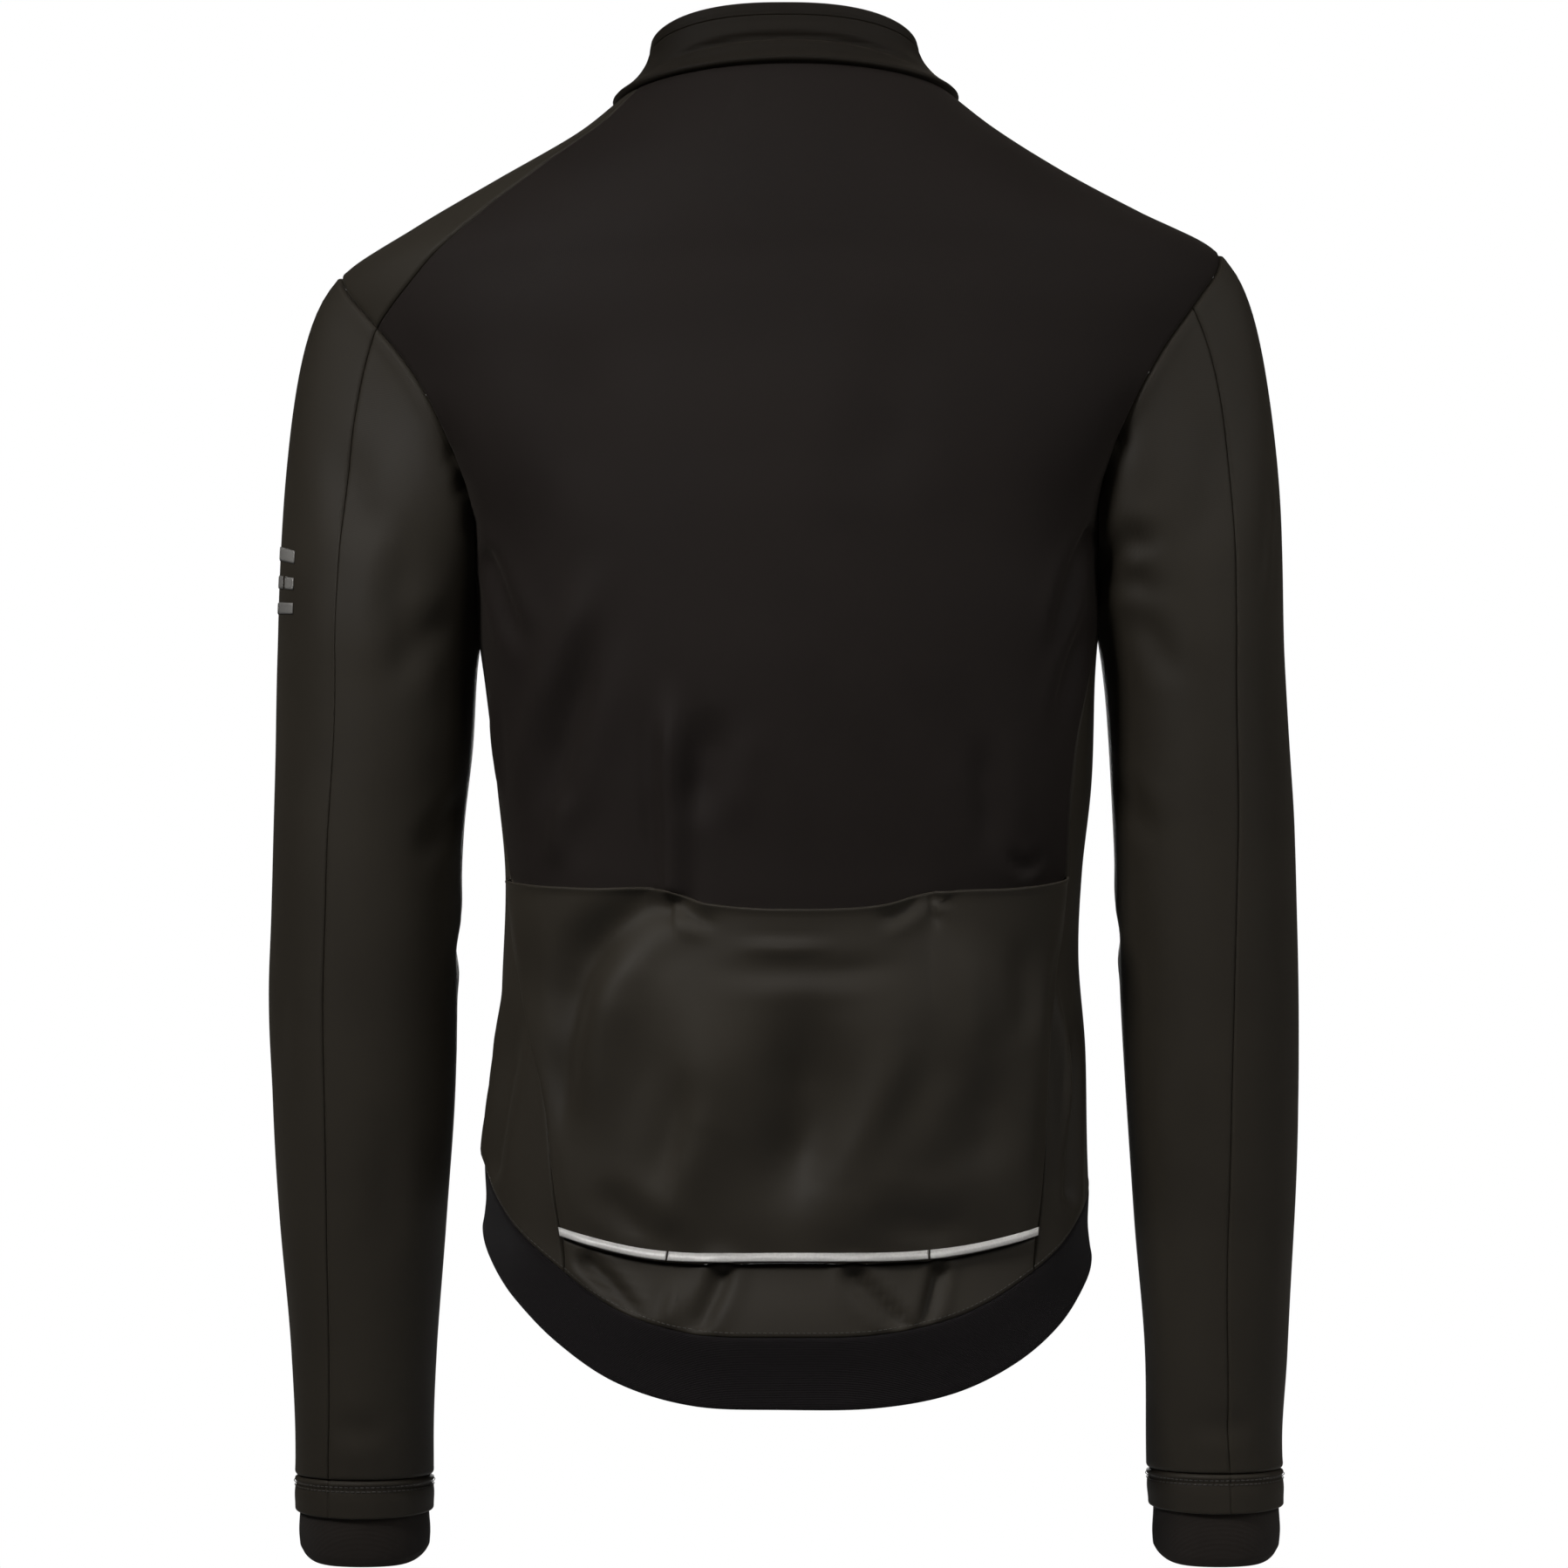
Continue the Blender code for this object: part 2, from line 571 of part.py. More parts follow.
def hem_turns():
    """Turns of the points along the lower edges of all the panels, from centre front left round the back."""
    level = hem_level(180.0)
    halves = []
    for side in (1, -1):
        back_turn = split_seam(side)[2][-1, 0]
        seam_turn = front_seam(side, hem_level, 1)[-1, 0]
        front = spread(side * front_turn(FRONT_EDGE, level), seam_turn, FRONT_COLUMNS)
        halves.append(join(front, spread(seam_turn, back_turn, 2 * UNDER_COLUMNS)))
    back = spread(halves[0][-1], halves[1][-1], BACK_COLUMNS)
    return join(halves[0], back, halves[1][::-1])


def build_hem_band():
    turns = hem_turns()
    rows = np.array([0.0, 0.5, 1.0])[:, None] * through(HEM, "turn", "height", turns)[None, :]
    place = np.stack(np.broadcast_arrays(turns[None, :], hem_level(turns)[None, :] + rows), -1)
    wall("hem_band", [cloth_grid(body_point, place, "top")], HEM_CLOTH, "elastic")


def pocket_pouch(turns, depth_share):
    """How far the pocket cloth stands off the back: three pouches, fullest at their mouths."""
    edges = np.array([turns[0], *DIVIDER_TURNS, turns[-1]])
    which = np.clip(np.searchsorted(-edges, -turns, side="right") - 1, 0, 2)
    share = (turns - edges[which]) / (edges[which + 1] - edges[which])
    bulge = np.sin(np.pi * np.clip(share, 0, 1)) ** 0.8
    return POUCH * bulge[None, :] * (1 - 0.8 * depth_share[:, None] ** 0.8)


def pocket_places():
    """The pocket panel's places: columns keep a point on each divider."""
    left, right = split_seam(1)[1], split_seam(-1)[1]
    edges = []
    for row, line in ((0, pocket_top), (-1, pocket_foot)):
        stops = (left[row, 0], *DIVIDER_TURNS, right[row, 0])
        turns = join(*[spread(a, b, POCKET_COLUMNS) for a, b in zip(stops[:-1], stops[1:])])
        edges.append(level_edge(turns, line))
    top, foot = edges
    top[0], top[-1], foot[0], foot[-1] = left[0], right[0], left[-1], right[-1]
    return patch(top, foot, left, right)


def pocket_out(place):
    return REST_GAP + CLOTH + pocket_pouch(place[0, :, 0], np.linspace(0, 1, len(place)))


def build_pockets():
    place = pocket_places()
    out = pocket_out(place)
    wall("pocket_panel", [cloth_grid(body_point, place, "bottom left right", out)], CLOTH, "olive")
    foot = place[-1]
    above = foot - [0, POCKET_TAPE_WIDTH]
    for number, name in enumerate(("left", "middle", "right")):
        first, last = number * POCKET_COLUMNS, (number + 1) * POCKET_COLUMNS
        strip = np.stack([above[first:last + 1], foot[first:last + 1]])
        share = np.stack([out[-2, first:last + 1], out[-1, first:last + 1]])
        near = POCKET_TAPE_WIDTH / (place[-1, first:last + 1, 1] - place[-2, first:last + 1, 1])
        share[0] = share[1] + (share[0] - share[1]) * near
        grid = cloth_grid(body_point, strip, "left right", share + SEAM_GAP + TAPE_FILM)
        wall("reflective_tape_" + name, [grid], TAPE_FILM, "reflective")


def sleeve_arounds(side):
    """Angles of the armhole points that the two sleeve pieces start from."""
    back = armhole_back_arounds(side)
    side_panel = spread(180 - SIDE_PANEL_HALF, 180, UNDER_COLUMNS)
    whole = join(spread(0, YOKE_ENDS[side], YOKE_WIDTH_STEPS[side]), back, side_panel)
    under = whole[np.searchsorted(whole, SLEEVE_SEAM_START - 0.01):]
    top_back = whole[:np.searchsorted(whole, SLEEVE_SEAM_START + 0.01)]
    front = join(front_arounds(), -side_panel)
    return join(top_back[::-1], front), under


def sleeve_axis(side):
    """The middle of the arm level with each point, to tell outside from inside."""
    def middle(points):
        drop = np.clip(-points[..., 2], BICEPS_DROP, None)
        name = side_name(side)
        x = (through(SLEEVE, "drop", name + "_inner", drop) + through(SLEEVE, "drop", name + "_outer", drop)) / 2
        return np.stack([side * x, -through(SLEEVE, "drop", "forward", drop), points[..., 2]], -1)
    return middle


def armhole_start(form, side, arounds, points, normals):
    """The sleeve's first row beside the body panels: their wall's direction above, its own where it hangs down
    along them."""
    edge = armhole(side, arounds)
    body_normals = cloth_grid(body_point, edge[None], "")[1][0]
    along = body_point(armhole(side, arounds + 1)) - body_point(armhole(side, arounds - 1))
    away = np.cross(body_normals, along)
    away *= np.sign(np.sum(away * (points - points.mean(0)), -1, keepdims=True))
    away /= np.linalg.norm(away, axis=-1, keepdims=True)
    leave = form(np.stack([arounds, np.full_like(arounds, CAP_DROP + 8)], -1)) - body_point(edge)
    leave /= np.linalg.norm(leave, axis=-1, keepdims=True)
    doubled = np.clip(np.sum(leave * away, -1, keepdims=True), 0, 1)
    normals = body_normals * (1 - doubled) + normals * doubled
    normals /= np.linalg.norm(normals, axis=-1, keepdims=True)
    return points - away * SEAM_GAP / 2 + body_normals * doubled * SEAM_GAP * 1.5, normals


def build_sleeve(side):
    form = sleeve_point(side)
    name = side_name(side)
    drops = join(spread(CAP_DROP, BICEPS_DROP, CAP_STEPS), spread(BICEPS_DROP, SLEEVE_END_DROP, ARM_STEPS))
    seam = np.stack([through(SLEEVE_SEAM[side], "drop", "turn", drops), drops], -1)
    outer, under = sleeve_arounds(side)
    for piece, arounds, first, last in (("sleeve_outer_", outer, seam, level_run(-180.0, drops)),
                                        ("sleeve_under_", under, seam, level_run(180.0, drops))):
        top = level_edge(arounds, CAP_DROP)
        bottom = level_edge(spread(first[-1, 0], last[-1, 0], len(arounds) - 1), SLEEVE_END_DROP)
        place = patch(top, bottom, first, last)
        points, normals = cloth_grid(form, place, "bottom left right", axis=sleeve_axis(side))
        points[0], normals[0] = armhole_start(form, side, arounds, points[0], normals[0])
        wall(piece + name, [(points, normals)], CLOTH, "olive")


def ring(form, side, drops, out, name, thickness, finish, sides="top"):
    """A closed band round the arm: its last column is welded to its first."""
    arounds = spread(0, 360, RING_STEPS)
    place = np.stack(np.broadcast_arrays(arounds[None, :], np.array(drops)[:, None]), -1)
    points, normals = cloth_grid(form, place, sides, out, sleeve_axis(side))
    points[:, -1], normals[:, -1] = points[:, 0], normals[:, 0]
    wall(name, [(points, normals)], thickness, finish)


def build_cuffs(side):
    form = sleeve_point(side)
    name = side_name(side)
    ring(form, side, BAND_DROPS, 0.0, "cuff_band_" + name, COLLAR_CLOTH, "olive")
    inset = np.array(ELASTIC_INSETS)[:, None]
    ring(form, side, ELASTIC_DROPS, -inset, "elastic_cuff_" + name, CUFF_ELASTIC, "elastic", "")


def build_sleeve_bars():
    """Three level reflective bars round the outside of the left upper arm."""
    form = sleeve_point(1)
    for number, drop in enumerate(BAR_DROPS, 1):
        turns = spread(BAR_TURNS[0], BAR_TURNS[1], 5)
        place = np.stack(np.broadcast_arrays(turns[None, :], np.array([drop, drop + BAR_HEIGHT])[:, None]), -1)
        grid = cloth_grid(form, place, "", REST_GAP + TAPE_FILM, sleeve_axis(1))
        wall("sleeve_bar_%d" % number, [grid], TAPE_FILM, "reflective")


def zip_rows(half_width):
    """Points and normals down the front at a distance from the middle: the collar, then the body to the hem."""
    rises = np.array([93.0, BINDING_START, 40.0, 15.0])
    foot = hem_level(180.0) + HEM["height"][0] - ZIP_BOX[1] - 1
    levels = join(spread(0, 120, 5), spread(120, foot, 8))
    upper = np.stack([collar_front_turn(half_width, rises), rises], -1)[:, None]
    lower = np.stack([front_turn(half_width, levels), levels], -1)[:, None]
    points_up, normals_up = cloth_grid(collar_point, upper, "")
    points_low, normals_low = cloth_grid(body_point, lower, "")
    points = np.concatenate([points_up, points_low])[:, 0]
    normals = np.concatenate([normals_up, normals_low])[:, 0]
    normals[1:-1] = normals[:-2] + 2 * normals[1:-1] + normals[2:]
    normals[:, 0] = 0
    return points, normals / np.linalg.norm(normals, axis=-1, keepdims=True)


def zip_strip(name, from_x, to_x, inset, thickness, finish):
    """A flat strip down the front between two distances from the middle."""
    grids = [zip_rows(abs(x)) for x in (from_x, to_x)]
    points = np.stack([grids[0][0], grids[1][0]], 1)
    normals = np.stack([grids[0][1], grids[1][1]], 1)
    points[:, 0, 0], points[:, 1, 0] = from_x, to_x
    wall(name, [(points - normals * inset, normals)], thickness, finish)


def build_zip():
    for side in (1, -1):
        ends = (TAPE_INNER, TAPE_OUTER) if side > 0 else (-TAPE_OUTER, -TAPE_INNER)
        zip_strip("zip_tape_" + side_name(side), *ends, TAPE_INSET, TAPE_CLOTH, "zip")
    zip_strip("zip_chain", -CHAIN_HALF, CHAIN_HALF, CHAIN_INSET, CHAIN_DEPTH, "zip")


def plate(name, outline, holes, thickness, finish, plane):
    """A flat plate: outline and holes filled in one plane and pushed out by the thickness, centred on it."""
    mesh = bmesh.new()
    for loop in [outline] + holes:
        verts = [mesh.verts.new(plane(a, b, -thickness / 2)) for a, b in loop]
        for i, vert in enumerate(verts):
            mesh.edges.new((vert, verts[(i + 1) % len(verts)]))
    bmesh.ops.triangle_fill(mesh, edges=mesh.edges[:], use_beauty=True)
    pushed = bmesh.ops.extrude_face_region(mesh, geom=mesh.faces[:])
    offset = [b - a for a, b in zip(plane(0, 0, -thickness / 2), plane(0, 0, thickness / 2))]
    bmesh.ops.translate(mesh, verts=[e for e in pushed["geom"] if isinstance(e, bmesh.types.BMVert)], vec=offset)
    bmesh.ops.recalc_face_normals(mesh, faces=mesh.faces[:])
    data = bpy.data.meshes.new(name)
    mesh.to_mesh(data)
    mesh.free()
    return add_object(name, data, finish)


def side_plane(out, up, across):
    """Plane of a profile that runs outwards and up; it is pushed along X."""
    return (across * MM, -out * MM, up * MM)


def face_plane(across, up, out):
    """Plane of an outline seen from the front; it is pushed along Y."""
    return (across * MM, -out * MM, up * MM)


# Slider profile, outwards and up from the chain's outer face at the slider's foot
SLIDER_FRONT = (0.4, 1.6)       # front plate, between these distances out
SLIDER_BACK = (-4.8, -3.6)
PIN = (3.0, 7.0)                # the pull tab's axis, out and up
EYE_HALF = (1.05, 1.3)
BRIDGE_WALL = 0.8


def slider_profiles():
    """The body, a C open at its foot for the chain, and the round-cornered eye that the tab's bar passes."""
    f0, f1 = SLIDER_FRONT
    b0, b1 = SLIDER_BACK
    top, post = SLIDER_HEIGHT, 2.6
    body = [(b0, 0.6), (b0 + 0.5, 0), (b1, 0), (b1, top - post), (f0, top - post), (f0, 0), (f1 - 0.4, 0), (f1, 0.6),
            (f1, top - 0.6), (f1 - 0.6, top), (b0 + 0.6, top), (b0, top - 0.6)]
    out, up = PIN
    e_out, e_up = EYE_HALF
    bridge = [(f1 - 0.4, up - e_up - BRIDGE_WALL), (out + e_out, up - e_up - BRIDGE_WALL * 0.6),
              (out + e_out + BRIDGE_WALL, up - e_up + 0.2), (out + e_out + BRIDGE_WALL, up + e_up - 0.2),
              (out + e_out, up + e_up + BRIDGE_WALL * 0.6), (f1 - 0.4, up + e_up + BRIDGE_WALL)]
    eye = [(out - e_out, up - e_up), (out + e_out, up - e_up), (out + e_out, up + e_up), (out - e_out, up + e_up)]
    return body, bridge, eye


def zip_lie():
    """Where the zip's chain starts below the collar's top, and how its face leans there."""
    points, normals = zip_rows(0.5)
    top, below = points[0] - normals[0] * CHAIN_INSET, points[1] - normals[1] * CHAIN_INSET
    lean = math.atan2(top[1] - below[1], top[2] - below[2])
    return top, lean


def add_slider():
    """Slider at the top of its run and its pull tab, which swings on the slider's eye about X."""
    top, lean = zip_lie()
    up_vector = np.array([0.0, math.sin(lean), math.cos(lean)])
    foot = (top - up_vector * (SLIDER_HEIGHT - 2.6 - SEAM_GAP)) * MM
    foot[0] = 0
    body_line, bridge_line, eye_line = slider_profiles()
    slider = plate("zip_slider", body_line, [], SLIDER_WIDTH, "zip", side_plane)
    bridge = plate("zip_slider_bridge", bridge_line, [eye_line], BRIDGE_WIDTH, "zip", side_plane)
    bridge.hide_render = True
    bridge.display_type = "WIRE"
    join_up = slider.modifiers.new("bridge", "BOOLEAN")
    join_up.operation = "UNION"
    join_up.solver = "EXACT"
    join_up.object = bridge
    for piece in (slider, bridge):
        piece.location = foot
        piece.rotation_euler = (-lean, 0, 0)
    out, up = PIN
    swing = bpy.data.objects.new("zip_tab_axis", None)
    bpy.context.collection.objects.link(swing)
    out_vector = np.array([0.0, -math.cos(lean), math.sin(lean)])
    swing.location = foot + (up_vector * up + out_vector * out) * MM
    swing.rotation_euler = (-lean, 0, 0)
    tab = plate("zip_pull_tab", tab_outline(), [tab_window()], TAB_DEPTH, "zip", face_plane)
    tab.parent = swing
    return swing.location


def tab_outline():
    """A plain long tab with rounded ends: across and up from its bar."""
    half, bar = TAB_WIDTH / 2, TAB_DEPTH / 2
    corner = [(half * math.cos(a), half * math.sin(a)) for a in np.radians(np.arange(180, 361, 30))]
    foot = [(x, y - TAB_LENGTH + half + bar) for x, y in corner]
    neck = half * 0.86
    return foot + [(half, -9.0), (neck, -6.5), (neck, bar), (-neck, bar), (-neck, -6.5), (-half, -9.0)]


def tab_window():
    half, bar = BRIDGE_WIDTH / 2 + 0.5, TAB_DEPTH / 2
    return [(-half, -bar), (half, -bar), (half, -4.6), (-half, -4.6)]


def add_zip_box():
    """The square box that holds the two ends of an open-ended zip."""
    points, normals = zip_rows(0.5)
    end = points[-1] - normals[-1] * (CHAIN_INSET + CHAIN_DEPTH / 2)
    width, height, depth = ZIP_BOX
    corner = 0.8
    w, h = width / 2, height
    outline = [(-w, -h + corner), (-w + corner, -h), (w - corner, -h), (w, -h + corner), (w, -corner),
               (w - corner, 0), (-w + corner, 0), (-w, -corner)]
    box = plate("zip_box", outline, [], depth, "zip", face_plane)
    box.location = (end - [end[0], 0, SEAM_GAP]) * MM


def main():
    for old in list(bpy.data.objects):
        bpy.data.objects.remove(old, do_unlink=True)
    build_back()
    build_lower_back()
    build_pockets()
    build_collar()
    build_hem_band()
    for side in (1, -1):
        build_side_panel(side)
        build_front(side)
        build_sleeve(side)
        build_cuffs(side)
    build_sleeve_bars()
    build_zip()
    add_slider()
    add_zip_box()


main()
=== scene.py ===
"""Winter cycling jacket: fine cloth, folds, seams, stitching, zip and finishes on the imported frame.

Lengths are millimetres in the tables and functions and become metres where a mesh is made. +Z is up, +Y the
wearer's back and +X the wearer's left. The body of the jacket is one smooth form. A place on it is a turn in
degrees (0 centre back, 90 the wearer's left, -90 the right, 180 centre front) and a level, the height down from
the side neck point. A sleeve is a form too: its places are an angle round the arm (0 on the outside, 90 at the
back) and a drop, the height down. Every cloth piece is a region of a form between its seams.
"""

import math

import bpy
import numpy as np
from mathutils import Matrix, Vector


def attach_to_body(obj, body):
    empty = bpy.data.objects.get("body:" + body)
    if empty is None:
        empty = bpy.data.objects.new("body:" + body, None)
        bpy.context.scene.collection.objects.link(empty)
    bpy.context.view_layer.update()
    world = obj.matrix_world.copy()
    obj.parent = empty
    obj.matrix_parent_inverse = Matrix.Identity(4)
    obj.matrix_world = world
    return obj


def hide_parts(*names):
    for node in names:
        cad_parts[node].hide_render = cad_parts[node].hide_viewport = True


MM = 0.001
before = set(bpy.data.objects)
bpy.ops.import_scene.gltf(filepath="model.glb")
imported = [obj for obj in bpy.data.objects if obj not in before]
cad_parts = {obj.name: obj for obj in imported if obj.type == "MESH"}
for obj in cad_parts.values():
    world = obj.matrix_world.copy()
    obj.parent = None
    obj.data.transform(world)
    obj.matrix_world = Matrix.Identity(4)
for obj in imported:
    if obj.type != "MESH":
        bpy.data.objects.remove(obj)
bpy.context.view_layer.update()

# Cloth, in millimetres
CLOTH = 1.5
COLLAR_CLOTH = 2.4
BINDING_CLOTH = 2.6
HEM_CLOTH = 2.0
CUFF_ELASTIC = 1.8
FILM = 0.45
STEP = 3.2             # mesh spacing on the large panels
RUN_STEPS = 200        # lengths that a seam or an edge is worked out in
EDGE_ROWS = (0.0, 0.22, 0.5, 0.9, 1.5, 2.4)    # closer rows beside every edge

# Armhole: an oval in turn and level, from the shoulder tip round the back of the arm
ARMHOLE_TOP = 86.0
ARMHOLE_BOTTOM = 239.0
ARMHOLE_BACK_REACH = 31.5
ARMHOLE_FRONT_REACH = 35.0
SIDE_PANEL_HALF = 22.0
YOKE_ENDS = {1: 57.0, -1: 13.0}
SLEEVE_SEAM_START = 57.0
BINDING_START = 80.0
COLLAR_HEIGHT = 41.0   # from the neck seam to the top edge, round the back
NECK_UPSTAND = 1.6     # how far the panels' neck edges stand up inside the collar
HEM_LAP = 0.6          # how far the hem band laps over the panels' edges
CENTRE_FRONT = 180.0

# Sleeves
CAP_DROP = 165.0
BICEPS_DROP = 291.0
SLEEVE_END_DROP = {1: 725.0, -1: 721.5}
BAND_END_DROP = {1: 744.0, -1: 741.5}
ELASTIC_TOP_DROP = 736.0
ELASTIC_END_DROP = 771.0
CAP_FULLNESS = 0.8
CAP_FLATTENING = 0.18
BAR_DROPS = (253.0, 261.5, 270.0)
BAR_HEIGHT = 4.0
BAR_TURNS = (-34.0, 38.0)
BLOCK_PITCH = 24.0     # the bars' blocks and the gaps between them, in degrees round the arm
BLOCK_GAP = 2.4

# Pockets
DIVIDER_TURNS = (20.5, -25.5)
POUCH = 8.5            # how far each mouth stands open
REST_GAP = 0.6         # under the pocket cloth
POCKET_TAPE_WIDTH = 4.6

# How the cloth hangs: strength of each table of folds, and how far from a sewn edge they fade
BODY_FOLDING = 2.5
POCKET_FOLDING = 2.4
SLEEVE_FOLDING = 1.4
HEM_FADE = 7.0
PIT_FADE = 14.0
LEAN_DROP = 263.0      # where body and sleeve lean together, and how far each
LEAN_HALF_HEIGHT = 30.0
BODY_LEAN = 2.1
SLEEVE_LEAN = 3.3

# Zip
FRONT_EDGE = 4.5
CHAIN_INSET = 1.0
TAPE_INNER = 2.3
TAPE_OUTER = 15.0
TAPE_INSET = 3.1
TAPE_CLOTH = 1.0
ZIP_BOX_HEIGHT = 9.0
TOOTH_PITCH = 1.3
TOOTH_HALF_SIZE = (1.25, 0.82, 1.15)   # across, down and out
TOOTH_SIDESTEP = 0.72  # from the middle, to each side in turn
TOOTH_DEPTH = 1.2      # from the chain's face to the teeth's middle

# Stitches
STITCH_PITCH = 2.8
STITCH_LENGTH = 2.1
STITCH_RADIUS = 0.24
CUFF_STITCHES = ((3.4, 0.45), (5.6, 0.0))      # each row: how far below the band's top edge, and its lift
HEM_STITCH_RISE = 2.6  # above the hem band's seam
FRONT_STITCH_INSET = 5.5       # from the front's edge

# Stage
FLOOR_RADIUS = 4000.0
FLOOR_SIDES = 96
FLOOR_THICKNESS = 20.0
FLOOR_DROP = 1300.0
CAMERA_AWAY = 3.2      # metres, as the camera's height and the lights' places and sizes are
CAMERA_HEIGHT = -0.359
LENS = 139.28          # for a sensor 36 wide
SENSOR = 36
AMBIENT = 0.03
# name, place, point aimed at, width and height, watts, beam in degrees
LIGHTS = (
    ("left_softbox", (1.75, 1.0, 1.3), (0.2, 0, -0.1), (0.7, 0.9), 5, 180),
    ("right_softbox", (-1.4, 1.8, 1.25), (-0.1, 0, -0.2), (0.7, 0.9), 27, 180),
    ("side_softbox", (-1.9, 0.75, 0.7), (-0.2, 0, -0.4), (0.7, 0.9), 12, 180),
    ("key_softbox", (1.4, 1.75, 1.3), (-0.06, 0, -0.6), (0.6, 0.6), 3.9, 34),
    ("hair_softbox", (0, 0.35, 1.5), (0, 0.06, 0), (0.3, 0.3), 0.08, 24),
    ("front_softbox", (0, -3.0, 0.1), (0, 0, -0.4), (0.6, 1.2), 60, 180),
)

# Finishes: the lighter and the darker tone of each
OLIVE = (0.0148, 0.0120, 0.0080), (0.0122, 0.0098, 0.0066)
BLACK = (0.0098, 0.0076, 0.0066), (0.0081, 0.0062, 0.0054)
COLLAR_OLIVE = (0.0070, 0.0052, 0.0032), (0.0058, 0.0043, 0.0027)
HEM_BLACK = (0.0046, 0.0036, 0.0039), (0.0036, 0.0028, 0.0030)
CUFF_BROWN = (0.0150, 0.0122, 0.0100), (0.0116, 0.0093, 0.0077)
BRIGHT_FILM = (0.36, 0.35, 0.335), (0.28, 0.272, 0.26)
DULL_FILM = (0.150, 0.145, 0.136), (0.115, 0.111, 0.104)
TAPE_BLACK = (0.012, 0.0115, 0.011), (0.008, 0.0078, 0.0076)
HARD_BLACK = (0.014, 0.014, 0.014), (0.010, 0.010, 0.010)
THREAD_BROWN = (0.030, 0.027, 0.022), (0.018, 0.016, 0.013)
PALE_GREY = (0.80, 0.80, 0.80), (0.76, 0.76, 0.76)
SHEEN = (0.90, 0.80, 0.66)


def table(columns, *rows):
    """A table with named columns, one row for each section."""
    return dict(zip(columns.split(), np.array(rows, float).T))


BODY = table(
    "level left right back front back_rise front_rise lean round tip",
    (0, 87, 89, 50, 70, 17, -47, 1.3, 2.0, 2.0),
    (20, 113, 114, 63, 79, 17, -43, 2.0, 2.05, 1.9),
    (43, 157, 151, 76, 89, 16, -38, 3.0, 2.1, 1.75),
    (65, 198, 191, 85, 98, 15, -32, 4.5, 2.15, 1.65),
    (86, 233, 229, 91, 104, 14.5, -27, 6.0, 2.15, 1.6),
    (100, 240, 238, 94, 107, 14, -24, 6.0, 2.15, 1.6),
    (115, 237, 237, 98, 110, 13, -21, 6.0, 2.2, 1.65),
    (145, 222, 225, 104, 116, 11, -15, 6.0, 2.2, 1.8),
    (175, 204, 207, 110, 119, 9, -11, 6.0, 2.2, 2.0),
    (196, 188, 191, 113, 121, 7, -8, 6.0, 2.25, 2.15),
    (219, 172, 175, 116, 122, 5, -5, 6.0, 2.25, 2.25),
    (239, 163, 166, 117, 122, 4, -3, 6.0, 2.3, 2.3),
    (285, 159, 164, 117, 120, 0, 0, 4.0, 2.3, 2.3),
    (360, 151, 162, 111, 113, 0, 0, 0, 2.25, 2.25),
    (406, 147, 157, 106, 108, 0, 0, 0, 2.25, 2.25),
    (450, 148, 155, 104, 106, 0, 0, 0, 2.2, 2.2),
    (498, 151, 159, 106, 107, 0, 0, 0, 2.2, 2.2),
    (560, 157.5, 160, 110, 109, 0, 0, 0, 2.2, 2.2),
    (620, 159, 161.5, 114, 110, 0, 0, 0, 2.2, 2.2),
    (700, 157, 160, 117, 111, 0, 0, 0, 2.2, 2.2),
)
COLLAR = table(
    "rise side side_height back back_height front front_height round",
    (0, 88, 0, 50, 17, 70, -47, 2.0),
    (12, 85.5, 5, 48.5, 21, 69, -41, 2.05),
    (25, 80.5, 10, 46, 26, 68, -35, 2.15),
    (45, 75.5, 16, 42.5, 32, 65.5, -26, 2.25),
    (75, 71.5, 24, 39, 41, 62.5, -13, 2.4),
    (100, 69.5, 31.5, 37, 49, 60, -2, 2.45),
)
SLEEVE = table(
    "drop left_inner left_outer right_inner right_outer forward depth tilt",
    (291, 162.5, 267, 168, 264, 2, 64, 0),
    (337, 164, 268, 171, 266, 1, 62, 0),
    (383, 169, 269.5, 173.5, 269, 0, 59, 1),
    (429, 170.8, 270.2, 175.8, 270.7, 0, 56, 1),
    (475, 172.2, 271.5, 177.7, 271.5, 2, 53, 2),
    (521, 174.1, 270.4, 180.1, 271.6, 5, 50, 3),
    (590, 178.5, 266.4, 185.5, 270.1, 11, 46, 3),
    (660, 183.9, 261.1, 190.8, 266.5, 17, 41.5, 2),
    (707, 186, 259.4, 192.1, 264.3, 21, 38.5, 0),
    (726, 186, 259.6, 192.6, 265.2, 23, 37.5, 0),
    (744, 185.7, 260.2, 193.2, 266.1, 25, 37, 3),
    (775, 185.4, 260, 193.2, 266, 28, 36.5, 2),
)
YOKE = {
    1: table("level turn", (0, 60), (40, 52.5), (62, 51), (84, 49.5), (102, 53.5)),
    -1: table("level turn", (0, 84), (40, 80)),
}
BACK_SEAM = table(
    "level left right",
    (287, 84, 80), (330, 85, 69), (365, 84, 66), (408, 77, 68), (432, 70, 67), (458, 63, 62), (495, 56, 58),
    (525, 51, 56.7), (566, 47, 55), (595, 45.5, 53.3), (640, 45, 52),
)
FRONT_SEAM = table("level left right", (290, 103, 103), (400, 104, 104), (600, 107, 107))
SLEEVE_SEAM = {
    1: table("drop turn", (165, 57), (215, 63), (292, 70), (359, 70), (449, 68.5), (539, 69), (632, 66), (726, 62)),
    -1: table("drop turn", (165, 57), (207, 59), (251, 62.5), (292, 66.5), (359, 70.5), (449, 77), (539, 81.5),
              (631, 85), (679, 83), (726, 80.5)),
}
